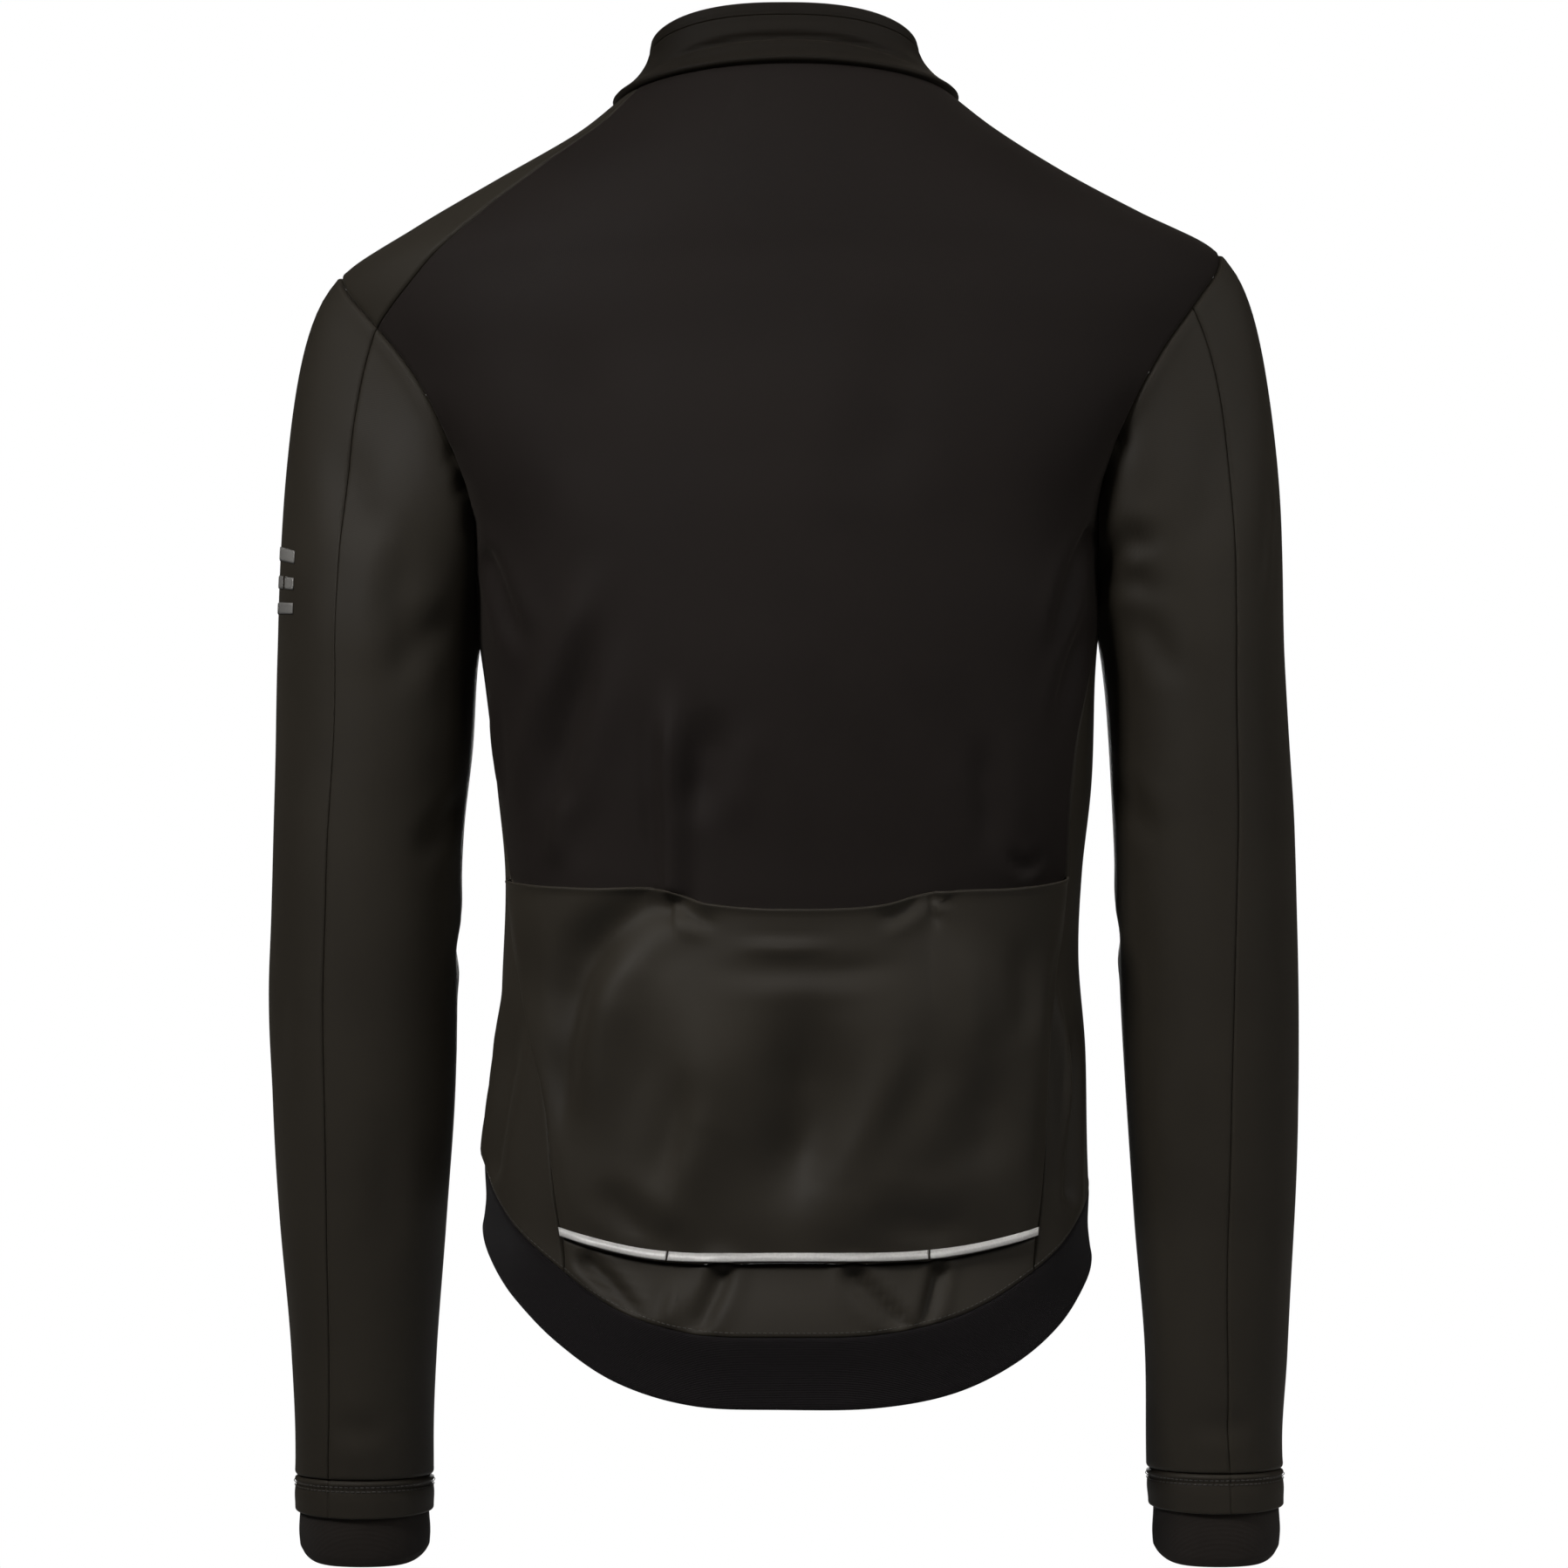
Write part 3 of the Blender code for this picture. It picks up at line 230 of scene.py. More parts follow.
HEM = table(
    "turn level height",
    (-180, 545, 38), (-120, 556, 38), (-90, 569, 39), (-75, 582, 39), (-61, 600, 39.5), (-46, 618, 39),
    (-31, 632, 38.5), (-15, 640, 37), (0, 641, 36.5), (15, 639.5, 36.5), (31, 628, 37), (46, 609, 37),
    (61, 588, 36.5), (75, 570, 36), (90, 557, 36), (120, 549, 37), (180, 545, 38),
)
POCKET_TOP = table(
    "turn level",
    (-70, 406), (-44, 411), (-25.5, 414), (-17, 419), (-3, 421.5), (12, 419), (18, 415.5),
    (20.5, 413), (24, 412), (40, 411), (78, 408),
)
POCKET_FOOT = table("turn level", (-54, 592.5), (-28, 602), (0, 603), (23, 602.5), (46, 592))


def through(rows, key, name, at):
    """Smooth curve through one column of a table: cubic pieces, each knot's slope the mean of its neighbours'."""
    knots, values = rows[key], rows[name]
    slope = np.gradient(values, knots)
    at = np.clip(at, knots[0], knots[-1])
    i = np.clip(np.searchsorted(knots, at) - 1, 0, len(knots) - 2)
    span = knots[i + 1] - knots[i]
    t = (at - knots[i]) / span
    start = (2 * t**3 - 3 * t**2 + 1) * values[i] + (t**3 - 2 * t**2 + t) * span * slope[i]
    end = (3 * t**2 - 2 * t**3) * values[i + 1] + (t**3 - t**2) * span * slope[i + 1]
    return start + end


def side_name(side):
    """The wearer's left is side 1 and the right is side -1."""
    return "left" if side > 0 else "right"


def oval(turn, left, right, back, front, squareness, tip):
    """Where a squarish oval passes at this turn: its x and y. A low tip draws its two sides out to a ridge."""
    across, along = np.sin(np.radians(turn)), np.cos(np.radians(turn))
    x = np.where(across >= 0, left, right) * np.sign(across) * np.abs(across) ** (2.0 / squareness)
    y = np.where(along >= 0, back, front) * np.sign(along) * np.abs(along) ** (2.0 / tip)
    return x, y


def blend_height(turn, side, back, front):
    """Height round a tilted ring: the side's height, drawn to the back's and the front's away from the sides."""
    along = np.cos(np.radians(turn))
    return side + (np.where(along >= 0, back, front) - side) * np.abs(along) ** 1.2


def body_point(place):
    """The body form: place holds (turn, level) pairs."""
    turn, level = place[..., 0], place[..., 1]
    row = {name: through(BODY, "level", name, level) for name in BODY if name != "level"}
    x, y = oval(turn, row["left"], row["right"], row["back"], row["front"], row["round"], row["tip"])
    z = blend_height(turn, -level, row["back_rise"] - level, row["front_rise"] - level)
    return np.stack([x, y, z - row["lean"] * np.sin(np.radians(turn))], -1)


def collar_point(place):
    """The collar form: place holds (turn, rise) pairs, rise 0 at the neck seam and 100 at the top edge."""
    turn, rise = place[..., 0], place[..., 1]
    row = {name: through(COLLAR, "rise", name, rise) for name in COLLAR if name != "rise"}
    fade = 1 - rise / 100
    x, y = oval(turn, row["side"] - fade, row["side"] + fade, row["back"], row["front"], row["round"], row["round"])
    z = blend_height(turn, row["side_height"], row["back_height"], row["front_height"])
    return np.stack([x, y, z - BODY["lean"][0] * fade * np.sin(np.radians(turn))], -1)


def armhole(side, around):
    """The armhole's (turn, level) at this angle from the shoulder tip, positive round the back."""
    angle = np.radians(around)
    reach = np.where(np.sin(angle) >= 0, ARMHOLE_BACK_REACH, ARMHOLE_FRONT_REACH)
    middle = (ARMHOLE_TOP + ARMHOLE_BOTTOM) / 2
    half = (ARMHOLE_BOTTOM - ARMHOLE_TOP) / 2
    return np.stack([side * (90 - reach * np.sin(angle)), middle - half * np.cos(angle)], -1)


def arm_ring(side, around, drop):
    """The sleeve below the biceps: ovals across the arm, tilted as the forearm reaches forward."""
    name = side_name(side)
    inner = through(SLEEVE, "drop", name + "_inner", drop)
    outer = through(SLEEVE, "drop", name + "_outer", drop)
    forward = through(SLEEVE, "drop", "forward", drop)
    depth = through(SLEEVE, "drop", "depth", drop)
    tilt = np.radians(through(SLEEVE, "drop", "tilt", drop))
    angle = np.radians(around)
    x = side * ((inner + outer) / 2 + (outer - inner) / 2 * np.cos(angle))
    y = depth * np.sin(angle) * np.cos(tilt) - forward
    return np.stack([x, y, -drop - depth * np.sin(angle) * np.sin(tilt)], -1)


def sleeve_point(side):
    """The sleeve form of one arm: a function of (around, drop) pairs.

    Above the biceps a cubic runs from the armhole to the biceps ring; it leaves the armhole outwards and down.
    """
    def point(place):
        """The form's point at each place."""
        around, drop = place[..., 0], place[..., 1]
        low = arm_ring(side, around, np.maximum(drop, BICEPS_DROP))
        start = body_point(armhole(side, around))
        end = arm_ring(side, around, np.full_like(drop, BICEPS_DROP))
        end_speed = arm_ring(side, around, np.full_like(drop, BICEPS_DROP + 1)) - end
        reach = np.linalg.norm(end - start, axis=-1, keepdims=True)
        top = np.maximum(np.cos(np.radians(around)), 0)
        outward = 0.30 + 0.50 * top
        leave = np.stack([side * outward, -0.05 * np.sin(np.radians(around)), outward - 1.42], -1)
        leave = leave / np.linalg.norm(leave, axis=-1, keepdims=True) * reach
        leave = leave * (CAP_FULLNESS - CAP_FLATTENING * top)[..., None]
        t = np.clip((drop - CAP_DROP) / (BICEPS_DROP - CAP_DROP), 0, 1)[..., None]
        cap = (2 * t**3 - 3 * t**2 + 1) * start + (t**3 - 2 * t**2 + t) * leave
        cap = cap + (3 * t**2 - 2 * t**3) * end + (t**3 - t**2) * end_speed * (BICEPS_DROP - CAP_DROP)
        return np.where(drop[..., None] < BICEPS_DROP, cap, low)
    return point


def ease(x):
    """0 below 0, 1 above 1, and 3x^2 - 2x^3 between."""
    x = np.clip(x, 0, 1)
    return x * x * (3 - 2 * x)


def unit(vectors):
    """Vectors brought to length 1."""
    return vectors / np.maximum(np.linalg.norm(vectors, axis=-1, keepdims=True), 1e-9)


def lengths(points):
    """Running length along a line of points, from 0."""
    return np.concatenate([[0.0], np.cumsum(np.linalg.norm(np.diff(points, axis=0), axis=-1))])


def shares(length, step=STEP, start=True, end=True):
    """Where a grid has its lines, as shares of a length: evenly apart, and closer beside each closed edge."""
    near = np.array(EDGE_ROWS)
    low = near[-1] if start else 0.0
    high = length - (near[-1] if end else 0.0)
    middle = np.linspace(low, high, max(2, int(math.ceil((high - low) / step)) + 1))
    before = near[:-1] if start else near[:0]
    after = length - near[:-1][::-1] if end else near[:0]
    return np.concatenate([before, middle, after]) / length


def spread(start, end, steps=RUN_STEPS):
    """Numbers evenly apart from start to end."""
    return np.linspace(start, end, steps + 1)


def join(*runs):
    """One run of places from several that share their end places."""
    return np.concatenate([runs[0]] + [run[1:] for run in runs[1:]])


def at_shares(form, places, at):
    """Places along a run, at these shares of its length on the form."""
    along = lengths(form(places))
    return np.stack([np.interp(at, along / along[-1], places[:, i]) for i in (0, 1)], -1)


def patch(top, bottom, left, right, p, q):
    """Fill four edges of places: left mixed to right by p, plus top mixed to bottom by q, less the corners' mix."""
    p, q = p[None, :, None], q[:, None, None]
    edges = (1 - q) * top[None] + q * bottom[None] + (1 - p) * left[:, None] + p * right[:, None]
    corners = (1 - p) * ((1 - q) * left[0] + q * left[-1]) + p * ((1 - q) * right[0] + q * right[-1])
    return edges - corners


def rails(form, edges, step=STEP, close=(True, True), crisp=False):
    """Edges, each a list of runs, all cut into the same lines; and those lines' mean shares of the whole.

    Every corner between two runs gets a line of its own. Lines lie closer together beside a closed end, and
    beside every corner if crisp.
    """
    cuts, shared, total = [[] for _ in edges], [], 0.0
    for number, runs in enumerate(zip(*edges)):
        long = sum(lengths(form(run))[-1] for run in runs) / len(runs)
        start = close[0] if number == 0 else crisp
        end = close[1] if number == len(edges[0]) - 1 else crisp
        at = shares(long, step, start, end)
        for cut, run in zip(cuts, runs):
            cut.append(at_shares(form, run, at))
        shared.append(total + at * long)
        total += long
    return [join(*cut) for cut in cuts], join(*shared) / total


def fill(form, top, bottom, left, right, crisp=False):
    """A grid of places between four edges, each a list of runs."""
    (top, bottom), p = rails(form, (top, bottom), crisp=crisp)
    (left, right), q = rails(form, (left, right))
    return patch(top, bottom, left, right, p, q)


def level_edge(turns, level):
    """Places along an edge whose level is a number or a function of the turn."""
    levels = level(turns) if callable(level) else np.full(len(turns), float(level))
    return np.stack([turns, levels], -1)


def hem_level(turn):
    """Level of the seam over the hem band."""
    return through(HEM, "turn", "level", turn)


def pocket_top(turn):
    """Level of the pockets' mouth."""
    return through(POCKET_TOP, "turn", "level", turn)


def pocket_foot(turn):
    """Level of the pockets' foot."""
    return through(POCKET_FOOT, "turn", "level", turn)


def neck_edge(turn):
    """The panels' neck edges stand up NECK_UPSTAND inside the collar."""
    return 0.0 * turn - NECK_UPSTAND


# Seams, as runs of places

def yoke_run(side):
    """The seam behind the shoulder, from the neck to the armhole."""
    end = armhole(side, YOKE_ENDS[side])
    rows = {"level": np.append(YOKE[side]["level"], end[1]), "turn": np.append(YOKE[side]["turn"], abs(end[0]))}
    levels = spread(-NECK_UPSTAND, end[1])
    return np.stack([side * through(rows, "level", "turn", levels), levels], -1)


def seam_run(side, rows, start_around, start_line, end_line):
    """A side seam between two lines round the body; with no first line it starts on the armhole."""
    start = armhole(side, start_around)
    turns = np.append(abs(start[0]), rows[side_name(side)])
    knots = {"level": np.append(start[1], rows["level"]), "turn": turns}

    def crossing(line):
        """The level at which the seam crosses a line round the body."""
        level = 560.0
        for _ in range(6):
            level = float(line(side * through(knots, "level", "turn", level)))
        return level

    levels = spread(crossing(start_line) if start_line else start[1], crossing(end_line))
    return np.stack([side * through(knots, "level", "turn", levels), levels], -1)


def back_seam(side, start_line, end_line):
    """The side seam beside the back."""
    return seam_run(side, BACK_SEAM, 180 - SIDE_PANEL_HALF, start_line, end_line)


def front_seam(side):
    """The side seam beside the front, from the armhole to the hem."""
    return seam_run(side, FRONT_SEAM, SIDE_PANEL_HALF - 180, None, hem_level)


def front_turn(half_width, level):
    """Turn, from centre front, at which the body form is half_width from the middle."""
    width = through(BODY, "level", "left", level)
    squareness = through(BODY, "level", "round", level)
    return 180 - np.degrees(np.arcsin((half_width / width) ** (squareness / 2)))


def collar_front_turn(half_width, rise):
    """Turn, from centre front, at which the collar is half_width from the middle."""
    width, squareness = (through(COLLAR, "rise", name, rise) for name in ("side", "round"))
    return 180 - np.degrees(np.arcsin((half_width / width) ** (squareness / 2)))


# Distances and folds

def nearest(points, starts, steps):
    """Distance from each point to the nearest of many short lines, and the share of their whole run it lies at.

    Each line's nearest place is the foot of the perpendicular, kept between the line's ends.
    """
    flat = points.reshape(-1, 3)
    squared = np.maximum(np.sum(steps**2, -1), 1e-12)
    long = np.sqrt(squared)
    run = np.concatenate([[0.0], np.cumsum(long)])
    apart, share = np.empty(len(flat)), np.empty(len(flat))
    for first in range(0, len(flat), 2048):
        piece = slice(first, first + 2048)
        gap = flat[piece, None] - starts[None]
        t = np.clip(np.sum(gap * steps, -1) / squared, 0, 1)
        away = np.sum((gap - t[..., None] * steps) ** 2, -1)
        which = np.argmin(away, 1)
        rows = np.arange(len(which))
        apart[piece] = np.sqrt(away[rows, which])
        share[piece] = (run[which] + t[rows, which] * long[which]) / run[-1]
    return apart.reshape(points.shape[:-1]), share.reshape(points.shape[:-1])


def smooth_path(form, stops, count=16):
    """A smooth line on a form through a few places."""
    stops = np.array(stops, float)
    rows = {"t": np.linspace(0, 1, len(stops)), "a": stops[:, 0], "b": stops[:, 1]}
    t = np.linspace(0, 1, count)
    return form(np.stack([through(rows, "t", "a", t), through(rows, "t", "b", t)], -1))


def fold_height(points, form, folds, strength=1.0):
    """Height of soft folds over a surface.

    Across its path a fold is a bell-shaped trough, -exp(-x^2), between two lower banks; a negative depth makes
    it a ridge. Along its path it fades to nothing at each end, unless that end is held, where it stays whole.
    """
    height = np.zeros(points.shape[:-1])
    for depth, width, held, *stops in folds:
        depth = depth * strength
        path = smooth_path(form, stops)
        reach = 4 * width
        inside = np.all((points > path.min(0) - reach) & (points < path.max(0) + reach), -1)
        if not inside.any():
            continue
        apart, share = nearest(points[inside], path[:-1], np.diff(path, axis=0))
        x = apart / width
        section = 0.32 * np.exp(-((x - 2.0) / 0.95) ** 2) - np.exp(-x**2)
        fade = ease(held[0] + share / 0.4) * ease(held[1] + (1 - share) / 0.4)
        height[inside] += depth * section * fade
    return height


def sway(points):
    """A slow unevenness of the cloth: products of sines some 15 to 40 centimetres long, about 1 mm high."""
    x, y, z = points[..., 0], points[..., 1], points[..., 2]
    slow = np.sin(x / 34 + z / 52 + 1.3) * np.sin(z / 44 - y / 30)
    middle = np.sin(x / 21 - z / 27 + 2.1) * np.sin(z / 63 + y / 19 + 0.7)
    return 0.45 * slow + 0.25 * middle


def small_of_back(points):
    """The back sinks 7 mm along the pocket's foot, a bell 24 mm high, so the cloth below it turns upwards."""
    return -7.0 * np.exp(-(((points[..., 2] + 602) / 24) ** 2)) * ease((points[..., 1] - 55) / 45)


# Folds of the body: depth, half width, whether each end is held, then places (turn, level) along it
FREE, HELD_START, HELD_END, HELD_BOTH = (0, 0), (1, 0), (0, 1), (1, 1)
BODY_FOLDS = [
    (2.6, 11, FREE, (35, 270), (42, 313), (50, 352), (58, 385)),
    (-1.5, 9, FREE, (31, 238), (42, 285), (56, 345)),
    (-1.3, 8, FREE, (44, 358), (49, 380), (52, 406)),
    (2.0, 10, FREE, (10.5, 315), (13, 350), (16, 384)),
    (-2.2, 6, HELD_END, (18.5, 300), (19.5, 355), (20.5, 412)),
    (1.2, 8, FREE, (-35, 330), (-38, 365), (-41, 400)),
    (0.9, 3.5, FREE, (-43.5, 390), (-50, 402), (-56.5, 392)),
    (1.6, 7, FREE, (-72, 268), (-63, 305), (-58, 342)),
    (1.4, 6, HELD_START, (-70, 236), (-60, 268), (-55, 300)),
    (1.5, 7, HELD_START, (68, 240), (60, 270), (52, 290)),
    (-1.0, 6, FREE, (74, 300), (78, 335), (80, 372)),
    (0.9, 16, FREE, (-10, 120), (-14, 170), (-12, 230)),
    (0.8, 18, FREE, (26, 130), (30, 180), (34, 225)),
    (1.2, 9, HELD_END, (62, 470), (70, 510), (74, 556)),
    (-1.1, 8, HELD_END, (78, 455), (80, 505), (84, 550)),
    (2.0, 6, HELD_END, (-73, 470), (-70, 520), (-67, 570)),
    (-1.9, 5, FREE, (-62, 450), (-63, 500), (-62.5, 560)),
    (2.0, 4.5, HELD_BOTH, (10, 610), (12, 623), (15, 641)),
    (-1.2, 4.5, HELD_END, (17, 612), (19, 626), (21, 640)),
    (2.1, 4.2, HELD_BOTH, (-11, 611), (-15, 622), (-20, 637)),
    (1.9, 3.6, HELD_BOTH, (-28, 608), (-26.5, 619), (-24.5, 634)),
    (1.8, 4, HELD_BOTH, (39, 605), (33, 616), (27, 630)),
    (-1.2, 3.5, FREE, (44, 605), (37, 618), (30, 629)),
    (1.8, 10, FREE, (-120, 150), (-128, 190), (-140, 235)),
    (1.6, 10, FREE, (122, 155), (130, 200), (143, 250)),
    (1.7, 9, HELD_START, (112, 236), (122, 280), (138, 320)),
    (1.5, 9, HELD_START, (-112, 236), (-124, 275), (-142, 310)),
    (1.6, 11, FREE, (150, 420), (138, 470), (128, 535)),
    (1.3, 10, FREE, (-152, 400), (-140, 455), (-128, 520)),
    (1.2, 9, FREE, (160, 340), (150, 375), (146, 420)),
    (-1.2, 10, FREE, (-164, 300), (-158, 350), (-156, 410)),
]
# Folds of the pocket cloth, in the same places
POCKET_FOLDS = [
    (2.7, 10, HELD_START, (22, 414), (28, 425), (35, 440), (41, 460), (44, 495), (45, 560)),
    (2.6, 15, FREE, (32, 416), (39, 434), (44, 462), (46, 500)),
    (1.7, 12, FREE, (50, 424), (54, 450), (54, 490), (50, 535)),
    (-1.5, 12, FREE, (24, 440), (31, 470), (34, 510), (33, 550)),
    (-0.6, 3.4, FREE, (9, 441), (0, 442.5), (-9, 441.5)),
    (0.75, 6, FREE, (16, 452), (4, 455), (-10, 454), (-24, 450)),
    (5.4, 19, FREE, (-1, 458), (-3, 500), (-2, 545), (4, 592)),
    (-1.3, 12, HELD_END, (16, 462), (14, 505), (16, 550), (21, 588)),
    (-1.1, 9, FREE, (-20, 480), (-15, 518), (-9, 548), (-2, 577)),
    (-0.5, 9, FREE, (-29, 500), (-26, 530), (-22, 560)),
    (1.3, 8, FREE, (16, 500), (18.5, 535), (22, 572)),
    (1.4, 8, HELD_END, (36, 562), (29, 578), (21, 592)),
    (1.1, 8, FREE, (-46, 430), (-48, 462), (-47, 500)),
    (1.4, 12, FREE, (-37, 500), (-38, 535), (-35, 565)),
    (-1.0, 10, FREE, (-31, 430), (-34, 470), (-32, 515)),
    (1.0, 9, FREE, (-12, 577), (-25, 585), (-38, 582)),
    (1.2, 4, HELD_START, (19, 414), (16, 424), (10, 432)),
    (1.3, 2.4, HELD_START, (20, 412), (22, 418), (26, 423)),
    (0.9, 2.2, HELD_START, (21, 412), (20.5, 420), (21.5, 430)),
    (1.2, 4, HELD_START, (-24, 415), (-19, 424), (-14, 430)),
    (1.5, 2.4, HELD_START, (-25.5, 412), (-27, 417), (-30, 420)),
    (0.9, 2.2, HELD_START, (-25.5, 412), (-26, 421), (-28, 434)),
]
# Folds of each sleeve: places (angle round the arm, drop)
SLEEVE_FOLDS = {
    1: [
        (1.6, 12, FREE, (62, 205), (70, 228), (88, 246)),
        (1.5, 9, FREE, (98, 215), (104, 262), (112, 310)),
        (1.5, 9, FREE, (150, 262), (120, 285), (100, 318)),
        (1.2, 8, FREE, (172, 360), (140, 385), (118, 402)),
        (1.8, 8, FREE, (205, 410), (190, 440), (168, 455)),
        (1.6, 7, FREE, (235, 440), (205, 470), (180, 480)),
        (1.4, 8, FREE, (250, 480), (220, 500), (190, 520)),
        (1.0, 10, FREE, (48, 420), (36, 470), (30, 530)),
        (1.0, 10, FREE, (105, 520), (110, 570), (104, 620)),
        (0.9, 7, FREE, (60, 690), (90, 698), (120, 692)),
        (1.2, 8, FREE, (290, 300), (300, 350), (296, 400)),
        (1.3, 9, FREE, (320, 600), (300, 640), (290, 690)),
    ],
    -1: [
        (1.5, 11, FREE, (62, 200), (72, 232), (92, 250)),
        (2.6, 7, HELD_START, (150, 212), (122, 224), (104, 240)),
        (1.8, 7, HELD_START, (158, 232), (128, 246), (110, 268)),
        (1.4, 8, FREE, (138, 262), (120, 282), (106, 312)),
        (-1.1, 2.6, FREE, (28, 230), (36, 252), (44, 276)),
        (1.2, 8, FREE, (170, 350), (142, 372), (120, 392)),
        (1.8, 8, FREE, (208, 400), (192, 432), (170, 448)),
        (1.5, 7, FREE, (238, 436), (208, 462), (182, 474)),
        (1.3, 8, FREE, (255, 476), (224, 498), (196, 512)),
        (1.0, 10, FREE, (100, 500), (108, 560), (110, 610)),
        (0.9, 7, FREE, (50, 688), (84, 696), (118, 690)),
        (1.2, 9, FREE, (300, 560), (310, 610), (300, 670)),
    ],
}
# Notches in the fold of each pit: the angle round the armhole, the depth and the half width
NOTCHES = {
    1: ((108, 3.0, 3.5), (120, 4.5, 4.5), (136, 4.0, 4.5)),
    -1: ((110, 4.0, 4.5), (127, 3.5, 4.0), (143, 2.0, 4.0)),
}


def tuck(points, side):
    """Where the sleeve hangs against the back, the seam sinks forwards into a fold that body and sleeve share.

    Two bells along the lower back of the armhole, one 5 mm deep and 9 wide, one 5 mm deep and 3.4 wide, and a few
    round notches.
    """
    path = body_point(armhole(side, np.linspace(84, 172, 24)))
    apart, share = nearest(points, path[:-1], np.diff(path, axis=0))
    sunk = 5.0 * np.exp(-((apart / 9.0) ** 2)) + 5.0 * np.exp(-((apart / 3.4) ** 2)) * ease(share / 0.5 - 0.2)
    sunk = sunk * ease(share / 0.35) * ease((1.15 - share) / 0.4)
    for around, depth, half_width in NOTCHES[side]:
        spot = body_point(armhole(side, np.array(float(around))))
        sunk = sunk + depth * np.exp(-np.sum((points - spot) ** 2, -1) / half_width**2)
    return np.stack([0 * sunk, -sunk, 0 * sunk], -1)


def leaning(points, normals, apart, high):
    """Below the pit, body and sleeve swell towards each other until they touch: a bell 60 mm high."""
    bell = high * np.exp(-(((points[..., 2] + LEAN_DROP) / LEAN_HALF_HEIGHT) ** 2)) * ease(apart / 6)
    return bell * ease(np.abs(normals[..., 0]) * 1.6 - 0.5)


def by_armhole(points, side):
    """Distance of points from an armhole, and the direction there halfway between the body's normal and the
    sleeve's. Down in the pit, where the two face each other, it turns downwards."""
    arounds = np.linspace(-180, 180, 121)
    hole = armhole(side, arounds)
    path = body_point(hole)
    body = facing(body_point, hole, body_axis)
    sleeve = facing(sleeve_point(side), np.stack([arounds, 0 * arounds + CAP_DROP], -1), sleeve_axis(side))
    opposed = np.clip(-np.sum(body * sleeve, -1, keepdims=True), 0, 1)
    shared = unit(body + sleeve - opposed * [0, 0, 0.8])
    apart, share = nearest(points, path[:-1], np.diff(path, axis=0))
    run = lengths(path)
    halfway = np.stack([np.interp(share, run / run[-1], shared[:, i]) for i in range(3)], -1)
    return apart, halfway


def meet(normals, apart, halfway):
    """Normals turned to the halfway direction over the last 2 mm before a seam, so that both walls close on it."""
    near = np.exp(-((apart / 1.6) ** 2))[..., None]
    return unit(normals * (1 - near) + halfway * near)


def body_axis(points):
    """The middle of the body level with each point."""
    return points * [0, 0, 1]


def sleeve_axis(side):
    """The middle of one arm: a function of points that gives its middle level with each."""
    def middle(points):
        """The arm's middle level with each point."""
        drop = np.clip(-points[..., 2], BICEPS_DROP, None)
        name = side_name(side)
        x = (through(SLEEVE, "drop", name + "_inner", drop) + through(SLEEVE, "drop", name + "_outer", drop)) / 2
        return np.stack([side * x, -through(SLEEVE, "drop", "forward", drop), points[..., 2]], -1)
    return middle


def facing(form, place, axis):
    """Outward unit normals of a form, from small steps in its two parameters."""
    step = 0.5
    across = form(place + [step, 0]) - form(place - [step, 0])
    down = form(place + [0, step]) - form(place - [0, step])
    normals = unit(np.cross(across, down))
    if np.sum(normals * (form(place) - axis(form(place)))) < 0:
        normals = -normals
    return normals


def grid_normals(points, like, wrap=False):
    """Unit normals of a grid: its two differences crossed, on the same side as like."""
    if wrap:
        points = np.concatenate([points[:, -2:-1], points, points[:, 1:2]], 1)
    normals = unit(np.cross(np.gradient(points, axis=1), np.gradient(points, axis=0)))
    if wrap:
        normals = normals[:, 1:-1]
    return normals * np.sign(np.sum(normals * like))


def body_surface(place, lift=0.0):
    """A grid on the body: the form, lifted along its normals by a height and the folds, and tucked at the pits."""
    points, normals = body_point(place), facing(body_point, place, body_axis)
    to_hem = hem_level(place[..., 0]) - place[..., 1]
    height = fold_height(points, body_point, BODY_FOLDS, BODY_FOLDING) * ease(to_hem / HEM_FADE)
    height = height + sway(points) + small_of_back(points)
    holes = []
    for side in (1, -1):
        near = (points[..., 0] * side > 100) & (points[..., 2] > -330)
        if near.any():
            apart, halfway = by_armhole(points[near], side)
            holes.append((side, near, apart, halfway))
            lean = leaning(points[near], normals[near], apart, BODY_LEAN)
            height[near] = height[near] * ease(apart / PIT_FADE) + lean
    moved = points + normals * (height + lift)[..., None]
    for side, near, _, _ in holes:
        moved[near] += tuck(points[near], side)
    final = grid_normals(moved, normals)
    for _, near, apart, halfway in holes:
        final[near] = meet(final[near], apart, halfway)
    return moved, final


def sleeve_surface(side, place, lift=0.0):
    """A grid on a sleeve: the form, lifted by the folds and the sway, and tucked at the pit.

    Beside the armhole seam it has a low round bank.
    """
    form = sleeve_point(side)
    points = form(place)
    normals = facing(form, place, sleeve_axis(side))
    apart, halfway = by_armhole(points, side)
    height = fold_height(points, form, SLEEVE_FOLDS[side], SLEEVE_FOLDING) + sway(points)
    height = height * ease(apart / PIT_FADE) * ease((SLEEVE_END_DROP[side] + 2 - place[..., 1]) / 16)
    height += 0.5 * np.exp(-(((apart - 2.6) / 1.3) ** 2))
    inner = normals[..., 0] * side < 0
    height += np.where(inner, leaning(points, normals, apart, SLEEVE_LEAN), 0)
    moved = points + normals * (height + lift)[..., None] + tuck(points, side)
    return moved, meet(grid_normals(moved, normals), apart, halfway)


# Meshes

